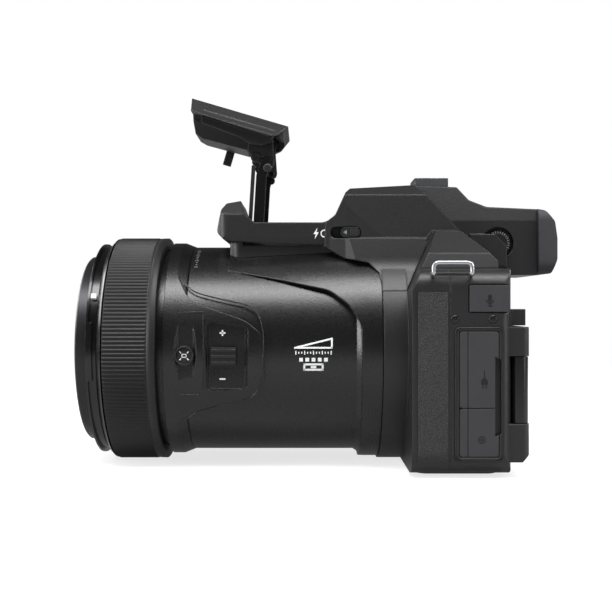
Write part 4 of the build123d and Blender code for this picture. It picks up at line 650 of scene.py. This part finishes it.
def buildStrapLoops():
    # bent wire loops that the neck strap goes through, one on each side
    size = {"wire": 0.85 * mm, "inset": 0.95 * mm, "sunk": 2.0 * mm, "drop": 5.3 * mm,
            "crownBend": 2.2 * mm, "footBend": 0.8 * mm, "leftWall": 60.0 * mm, "rightWall": -86.0 * mm,
            "rightTop": 6.2 * mm}
    low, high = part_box("strap_lugs")
    front, back = low.y + size["inset"], high.y - size["inset"]
    loops = (("strapLoopLeft", 1, high.x, size["leftWall"], high.z),
             ("strapLoopRight", -1, low.x, size["rightWall"], low.z + size["rightTop"]))
    for name, side, outer, wall, top in loops:
        x, deep = outer - side * size["wire"], wall - side * size["sunk"]
        foot, crown = top - size["drop"], top - size["inset"]
        corners = [Vector(corner) for corner in (
            (deep, front, foot), (x, front, foot), (x, front, crown), (x, back, crown), (x, back, foot),
            (deep, back, foot))]
        bends = (size["footBend"], size["crownBend"], size["crownBend"], size["footBend"])
        path = corners[:1]
        for before, corner, after, bend in zip(corners, corners[1:], corners[2:], bends):
            path += roundCorner(before, corner, after, bend)
        path += corners[-1:]
        piece = addWire(name, path, size["wire"], "camera_body", platedSteel)
        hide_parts("strap_lugs")


def addScrew(name, place, radius, body, finish):
    # a pan head, its cross recess painted on as a dark cross of shade; the head gives shares of the radius
    # and rises in millimetres
    size = {"headShares": ((1, -0.3), (1, 0.12), (0.93, 0.26), (0.75, 0.36), (0.5, 0.4)), "crossShare": 0.95,
            "armShare": 0.35, "lineShare": 0.26, "outShare": 0.3, "crossRise": 0.43}
    profile = [(radius * share, rise) for share, rise in size["headShares"]]
    addTurned(name, profile, place, body, finish, count=28)
    line, arm, out = (radius * size[share] for share in ("lineShare", "armShare", "outShare"))
    cross = [bar(0, 0, radius * size["crossShare"], line), bar(0, out, line, arm), bar(0, -out, line, arm)]
    # painted shade: a dark cross stands on the head where the recess would lie in shadow
    printMark(name + "CrossShade", cross, place, body, darkInkAndShade, rise=size["crossRise"])


def buildFasteners():
    # the two screws of the connector frame, and the joints of the flash bracket on both sides
    size = {"frameX": 60.0 * mm, "framePixels": ((455, 319), (493, 319)), "frameScrew": 1.45,
            "bracketX": 19.5 * mm, "knucklePixel": (256, 157), "armX": 22.1 * mm, "pivotPixel": (267.5, 168),
            "pivot": 1.8}
    for i, pixel in enumerate(size["framePixels"]):
        addScrew("sideScrew%d" % i, onSideAt(pixel, size["frameX"]), size["frameScrew"], "camera_body",
                 polishedAbs)
    # a flat knuckle with a hollow middle, (radius, rise)
    knuckle = [(2.3, -0.9), (2.3, 0.1), (2.15, 0.2), (1.3, 0.2), (1.2, 0.02), (0.6, 0.02)]
    for name, side in (("Left", 1), ("Right", -1)):
        addTurned("flashKnuckle" + name, knuckle, onSideAt(size["knucklePixel"], size["bracketX"], side),
                  "flash_lamp", satinAbs)
        addScrew("flashPivot" + name, onSideAt(size["pivotPixel"], size["armX"], side), size["pivot"],
                 "flash_lift", paintedSteel)


def buildSliderGrip():
    # ribs and a plain arrow on the flash release
    size = {"ribs": 4, "pitch": 0.85, "wide": 0.42, "high": 2.9, "start": 0.2, "rise": 0.3,
            "arrow": [(-3.1, 0), (-1.5, -0.95), (-1.5, 0.95)]}
    middle, high = middleOf("flash_slider", "yz")
    ribs = [bar(size["start"] + size["pitch"] * i, 0, size["wide"], size["high"])
            for i in range(size["ribs"])]
    printMark("sliderRibs", ribs, onSide(middle, high.x), "flash_release", siliconeRubber, rise=size["rise"])
    printMark("sliderArrow", [size["arrow"]], onSide(middle, high.x), "flash_release", greyInk)


def buildSnapBackCollar():
    # the rounded collar that the snap-back button sits in, (radius, rise)
    profile = [(3.15, -1.2), (3.15, 0.0), (3.3, 0.16), (3.55, 0.2), (3.8, 0.12), (3.95, -0.1), (4.0, -1.2),
               (3.15, -1.2)]
    panelFace = 46.0 * mm
    middle = middleOf("snap_back_button", "yz")[0]
    addTurned("snapBackCollar", profile, onSide(middle, panelFace), "camera_body", satinAbs,
              count=48, capped=False)


def buildShoeContacts():
    # one large and four small contact pins on the floor of the hot shoe
    size = {"floor": 119.7 * mm, "large": 1.25, "small": 0.6, "middle": -4.6, "front": -8.2, "back": -0.6,
            "apart": 2.6}
    pins = [(0, size["middle"], size["large"])]
    pins += [(x, y, size["small"]) for y in (size["back"], size["front"])
             for x in (-size["apart"], size["apart"])]
    for i, (x, y, radius) in enumerate(pins):
        profile = [(radius, -0.1), (radius, 0.1), (radius * 0.85, 0.18), (radius * 0.5, 0.2)]
        addTurned("shoeContact%d" % i, profile, onTop((x * mm, y * mm), size["floor"]), "camera_body",
                  goldPlating, count=24)


def buildDioptreTicks():
    # pale ticks round the face of the sight-correction dial
    size = {"ticks": 28, "radius": 4.5, "long": 0.9, "wide": 0.26}
    middle, high = middleOf("diopter_dial", "yz")
    tick = [bar(0, 0, size["long"], size["wide"])]
    ticks = []
    for i in range(size["ticks"]):
        ticks += turned(tick, 2 * math.pi * i / size["ticks"], size["radius"])
    printMark("dioptreTicks", ticks, onSide(middle, high.x), "diopter_dial", greyInk)


def buildCoverSigns():
    # dark pictograms on the rubber covers: a microphone, a plug and a round socket
    size = {"x": 60.3 * mm, "line": 0.4, "microphonePixel": (490, 299), "plugPixel": (484.5, 383),
            "socketPixel": (482, 440)}
    line = size["line"]
    microphone = [capsule(0.75, -0.4, 1.0)] + moved(arcStroke(1.35, line, 180, 360), 0, -0.3)
    microphone += [bar(0, -2.1, line, 1.0), bar(0, -2.7, 1.8, 0.36)]
    plug = [bar(0, 3.2, line, 3.0),
            [(-1.3, -0.6), (1.3, -0.6), (1.3, 0.9), (0.6, 1.8), (-0.6, 1.8), (-1.3, 0.9)],
            bar(-0.6, -1.4, 0.42, 1.4), bar(0.6, -1.4, 0.42, 1.4)]
    socket = arcStroke(1.25, line, 0, 360, 24) + arcStroke(0.3, 0.5, 0, 360, 12)
    for name, outlines, pixel, body in (("microphoneSign", microphone, size["microphonePixel"], "mic_flap"),
                                        ("plugSign", plug, size["plugPixel"], "upper_flap"),
                                        ("socketSign", socket, size["socketPixel"], "lower_flap")):
        printMark(name, outlines, onSideAt(pixel, size["x"]), body, darkInkAndShade)


def buildRearSigns():
    # plain white pictograms on the rear buttons, and an arrow on each quarter of the rotary selector
    line = 0.36
    signs = {
        "playback_button": [[(-1.0, -1.1), (1.2, 0), (-1.0, 1.1)]],
        "menu_button": [bar(0, v, 3.0, line) for v in (1.0, 0, -1.0)],
        "display_button": boxStroke(1.5, 1.0, 0.34),
        "delete_button": [bar(0, 1.1, 2.2, line), [(-0.85, 0.7), (-0.6, -1.3), (0.6, -1.3), (0.85, 0.7)]],
        "ok_button": arcStroke(1.7, line, 0, 360, 32),
    }
    for node, outlines in signs.items():
        middle, high = middleOf(node, "xz")
        printMark(node.replace("_button", "Sign"), outlines, onBack(middle, high.y), node)
    arrow = [[(8.1, -0.9), (9.5, 0), (8.1, 0.9)]]
    arrows = []
    for quarter in range(4):
        arrows += turned(arrow, math.radians(90 * quarter))
    middle, high = middleOf("multi_selector", "xz")
    printMark("selectorSigns", arrows, onBack(middle, high.y), "multi_selector")


def buildTopSigns():
    # marks round the mode dial with its index line, the power sign and the red film dot
    size = {"marks": 9, "radius": 8.6, "line": 0.36, "indexAt": (-60.0 * mm, 2.0 * mm), "indexTop": 83.0 * mm,
            "index": (3.0, 0.7), "power": 1.5, "powerLine": 0.4,
            # the film dot, (radius, rise)
            "dot": [(1.1, -0.1), (1.1, 0.05), (0.7, 0.09)]}
    kinds = (boxStroke(1.0, 0.7, size["line"]), [bar(0, 0, 1.9, 0.5)],
             arcStroke(0.7, size["line"], 0, 360, 16))
    marks = []
    for i in range(size["marks"]):
        marks += turned(kinds[i % 3], 2 * math.pi * i / size["marks"], size["radius"])
    middle, high = middleOf("mode_dial", "xy")
    printMark("dialMarks", marks, onTop(middle, high.z), "mode_dial")
    printMark("dialIndex", [bar(0, 0, *size["index"])], onTop(size["indexAt"], size["indexTop"]),
              "camera_body")
    middle, high = middleOf("power_button", "xy")
    power = arcStroke(size["power"], size["powerLine"], -60, 240, 24) + [bar(0, -1.4, size["powerLine"], 1.6)]
    printMark("powerSign", power, onTop(middle, high.z), "power_button")
    middle, high = middleOf("movie_button", "xy")
    addTurned("filmDot", size["dot"], onTop(middle, high.z), "movie_button", redInk)


def buildMonitorSkin():
    # a grained skin on the back of the closed monitor, set off from its hinge
    size = {"halfWide": 31, "halfHigh": 22, "corner": 3, "aside": 1.5 * mm, "rise": 0.35, "step": 4}
    (x, z), high = middleOf("monitor_frame", "xz")
    printMark("monitorSkin", [roundedRect(size["halfWide"], size["halfHigh"], size["corner"])],
              onBack((x - size["aside"], z), high.y), "monitor", rubberLeatherette, rise=size["rise"],
              step=size["step"])


def barrelBead(name, pixels, radius, bead):
    # a fine rounded edge on the barrel, along points of the photograph
    # points from one pixel to the next, tries that settle each on the barrel, and rounds of smoothing
    count = {"between": 6, "settle": 8, "smoothing": 4}
    points = []
    for start, stop in zip(pixels, pixels[1:]):
        for i in range(count["between"]):
            pixel = [a + (b - a) * i / count["between"] for a, b in zip(start, stop)]
            x = radius
            for _ in range(count["settle"]):
                y, z = fromPhoto(pixel, x)
                x = math.sqrt(max(radius ** 2 - (z - lensAxis.z) ** 2, 0))
            points.append(Vector((x, y, z)))
    for _ in range(count["smoothing"]):
        inner = [(a + b * 2 + c) / 4 for a, b, c in zip(points, points[1:], points[2:])]
        points = [points[0]] + inner + [points[-1]]
    addWire(name, points, bead, "camera_body", satinPolycarbonate, count=10)


def buildPanelEdges():
    # the rounded edges of the lens control panel and of its lever pocket; the pixels go down the photograph
    size = {"radius": 45.95 * mm, "bead": 0.3 * mm, "pocketX": 43.12 * mm, "pocketY": -91.85 * mm,
            "pocketZ": 47.0 * mm, "pocketHalf": (7.4, 13.2), "pocketCorner": 1.8, "pocketBead": 0.24 * mm}
    edgePixels = {
        "panelEdge": [(204, 312), (178, 312.5), (172, 315), (169, 321), (168, 340), (168, 355), (168, 372),
                      (169, 386), (172, 392), (178, 394.5), (204, 395)],
        "tongueEdge": [(185, 283), (190, 289), (198, 293.5), (222, 299.5), (245, 304), (255, 310), (261, 319),
                       (263.5, 334), (263.5, 355), (262, 376), (259, 389), (252, 397), (240, 401.5),
                       (215, 407), (196, 412), (186, 419)],
        "ridgeEdge": [(203, 315), (203.5, 335), (203.5, 372), (203, 392)],
    }
    for name, pixels in edgePixels.items():
        barrelBead(name, pixels, size["radius"], size["bead"])
    loop = roundedRect(*size["pocketHalf"], size["pocketCorner"])
    path = [Vector((size["pocketX"], size["pocketY"] + u * mm, size["pocketZ"] + v * mm))
            for u, v in loop + loop[:1]]
    addWire("pocketEdge", path, size["pocketBead"], "camera_body", satinAbs, count=10)


def buildFrameShadowLine():
    # a painted shadow line in the dark ink, just inside the edge of the connector frame
    size = {"line": 0.32, "inset": 0.55, "corner": 1.6, "rise": 0.05, "step": 20}
    low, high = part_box("connector_frame")
    middle = ((low.y + high.y) / 2, (low.z + high.z) / 2)
    loop = roundedRect((high.y - low.y) / mm / 2 - size["inset"], (high.z - low.z) / mm / 2 - size["inset"],
                       size["corner"])
    printMark("frameShadowLine", stroke(loop + loop[:1], size["line"]), onSide(middle, high.x), "camera_body",
              darkInkAndShade, rise=size["rise"], step=size["step"])


buildControlRing()
buildLensSigns()
buildFlashSigns()
buildBezelGlint()
buildFrontLens()
buildFilterThread()
buildStrapLoops()
buildFasteners()
buildSliderGrip()
buildSnapBackCollar()
buildShoeContacts()
buildDioptreTicks()
buildCoverSigns()
buildRearSigns()
buildTopSigns()
buildMonitorSkin()
buildPanelEdges()
buildFrameShadowLine()
print("pieces built")


def buildFloor():
    # a pale floor that keeps the soft shadow near the object and runs out to plain white further away;
    # the white sets in between near and far, in metres from the object's middle
    look = {"width": 6.0, "colour": "969696", "glow": 0.74, "glossGlow": 0.18, "near": 0.30, "far": 0.85,
            "middleY": -0.06}
    half = look["width"] / 2
    low = cadBox[0].z
    mesh = bpy.data.meshes.new("floor")
    mesh.from_pydata([(-half, -half, low), (half, -half, low), (half, half, low), (-half, half, low)], [],
                     [(0, 1, 2, 3)])
    floor = bpy.data.objects.new("floor", mesh)
    bpy.context.scene.collection.objects.link(floor)
    material, tree = newMaterial("paleFloor")
    path = addNode(tree, "LightPath")
    seen = addNode(tree, "Math", {0: path.outputs["Is Camera Ray"], 1: path.outputs["Is Transmission Ray"]},
                   operation="MAXIMUM")
    place = addNode(tree, "TexCoord").outputs["Object"]
    away = addNode(tree, "VectorMath", {0: place, 1: (0, look["middleY"], low)}, operation="DISTANCE")
    clear = addNode(tree, "MapRange", {"Value": away.outputs["Value"], "From Min": look["near"],
                                       "From Max": look["far"]}, interpolation_type="SMOOTHSTEP")
    glow = addNode(tree, "MapRange", {"Value": clear.outputs[0], "To Min": look["glow"], "To Max": 1.0})
    shown = addNode(tree, "Math", {0: seen.outputs[0], 1: glow.outputs[0]}, operation="MULTIPLY")
    gloss = addNode(tree, "Math", {0: path.outputs["Is Glossy Ray"], 1: look["glossGlow"]},
                    operation="MULTIPLY")
    strength = addNode(tree, "Math", {0: shown.outputs[0], 1: gloss.outputs[0]}, operation="ADD")
    matt = addNode(tree, "BsdfDiffuse", {"Color": linear(look["colour"])})
    dark = addNode(tree, "BsdfDiffuse", {"Color": (0, 0, 0, 1)})
    ground = addNode(tree, "MixShader", {"Fac": clear.outputs[0], 1: matt.outputs[0], 2: dark.outputs[0]})
    light = addNode(tree, "Emission", {"Strength": strength.outputs[0]})
    both = addNode(tree, "AddShader", {0: ground.outputs[0], 1: light.outputs[0]})
    mesh.materials.append(finishSurface(material, tree, both))


def buildWorld():
    # white as seen by the camera, a dark room in reflections, and an even fill for everything else
    look = {"fill": 0.28, "roomHigh": 0.04, "roomLow": 0.12}
    world = bpy.data.worlds.new("studio")
    world.use_nodes = True
    tree = world.node_tree
    tree.nodes.clear()
    path = addNode(tree, "LightPath")
    seen = addNode(tree, "Math", {0: path.outputs["Is Camera Ray"], 1: path.outputs["Is Transmission Ray"]},
                   operation="MAXIMUM")
    place = addNode(tree, "TexCoord").outputs["Generated"]
    part = addNode(tree, "SeparateXYZ", {0: place})
    room = addNode(tree, "MapRange", {"Value": part.outputs["Z"], "From Min": 0.1, "From Max": 0.6,
                                      "To Min": look["roomLow"], "To Max": look["roomHigh"]},
                   interpolation_type="SMOOTHSTEP")
    gap = addNode(tree, "Math", {0: room.outputs[0], 1: look["fill"]}, operation="SUBTRACT")
    glossy = addNode(tree, "Math", {0: path.outputs["Is Glossy Ray"], 1: gap.outputs[0]},
                     operation="MULTIPLY")
    level = addNode(tree, "Math", {0: glossy.outputs[0], 1: look["fill"]}, operation="ADD")
    shown = addNode(tree, "Math", {0: seen.outputs[0], 1: level.outputs[0]}, operation="MAXIMUM")
    back = addNode(tree, "Background", {"Color": (1, 1, 1, 1), "Strength": shown.outputs[0]})
    addNode(tree, "OutputWorld", {"Surface": back.outputs[0]})
    bpy.context.scene.world = world


def addLamps():
    # a long strip overhead, a soft lamp behind each end, and a narrow strip beside each end for the edges;
    # places and sizes are metres, power is watts
    lamps = {
        "strip": {"at": (0.40, -0.06, 0.92), "aim": (0.0, -0.06, 0.06), "size": (1.25, 0.34), "power": 17},
        "rearTop": {"at": (-0.45, 0.75, 0.55), "aim": (0.0, -0.03, 0.06), "size": (0.6, 0.6), "power": 9},
        "frontEdge": {"at": (0.45, -0.98, 0.25), "aim": (0.03, -0.08, 0.06), "size": (0.16, 0.7), "power": 7},
        "rearEdge": {"at": (0.42, 0.88, 0.25), "aim": (0.03, -0.05, 0.06), "size": (0.16, 0.7), "power": 3},
        "frontTop": {"at": (-0.35, -0.95, 0.5), "aim": (0.0, -0.06, 0.06), "size": (0.5, 0.6), "power": 8},
    }
    for name, lamp in lamps.items():
        data = bpy.data.lights.new(name, "AREA")
        data.shape = "RECTANGLE"
        data.size, data.size_y = lamp["size"]
        data.energy = lamp["power"]
        light = bpy.data.objects.new(name, data)
        light.location = lamp["at"]
        facing = Vector(lamp["aim"]) - Vector(lamp["at"])
        light.rotation_euler = facing.to_track_quat("-Z", "Y").to_euler()
        bpy.context.scene.collection.objects.link(light)


def buildCamera():
    # the view of the photograph
    look = {"sensor": 36, "clipStart": 0.01, "level": 90, "turn": 90}
    data = bpy.data.cameras.new("camera")
    data.sensor_width = look["sensor"]
    data.lens = data.sensor_width * photo["focalPixels"] / photo["side"]
    data.clip_start = look["clipStart"]
    camera = bpy.data.objects.new("camera", data)
    camera.location = (photo["x"], photo["y"], photo["z"])
    camera.rotation_euler = (math.radians(look["level"]), 0, math.radians(look["turn"]))
    bpy.context.scene.collection.objects.link(camera)
    bpy.context.scene.camera = camera


buildFloor()
buildWorld()
addLamps()
buildCamera()
bpy.context.scene.view_settings.view_transform = "Standard"
print("stage ready")
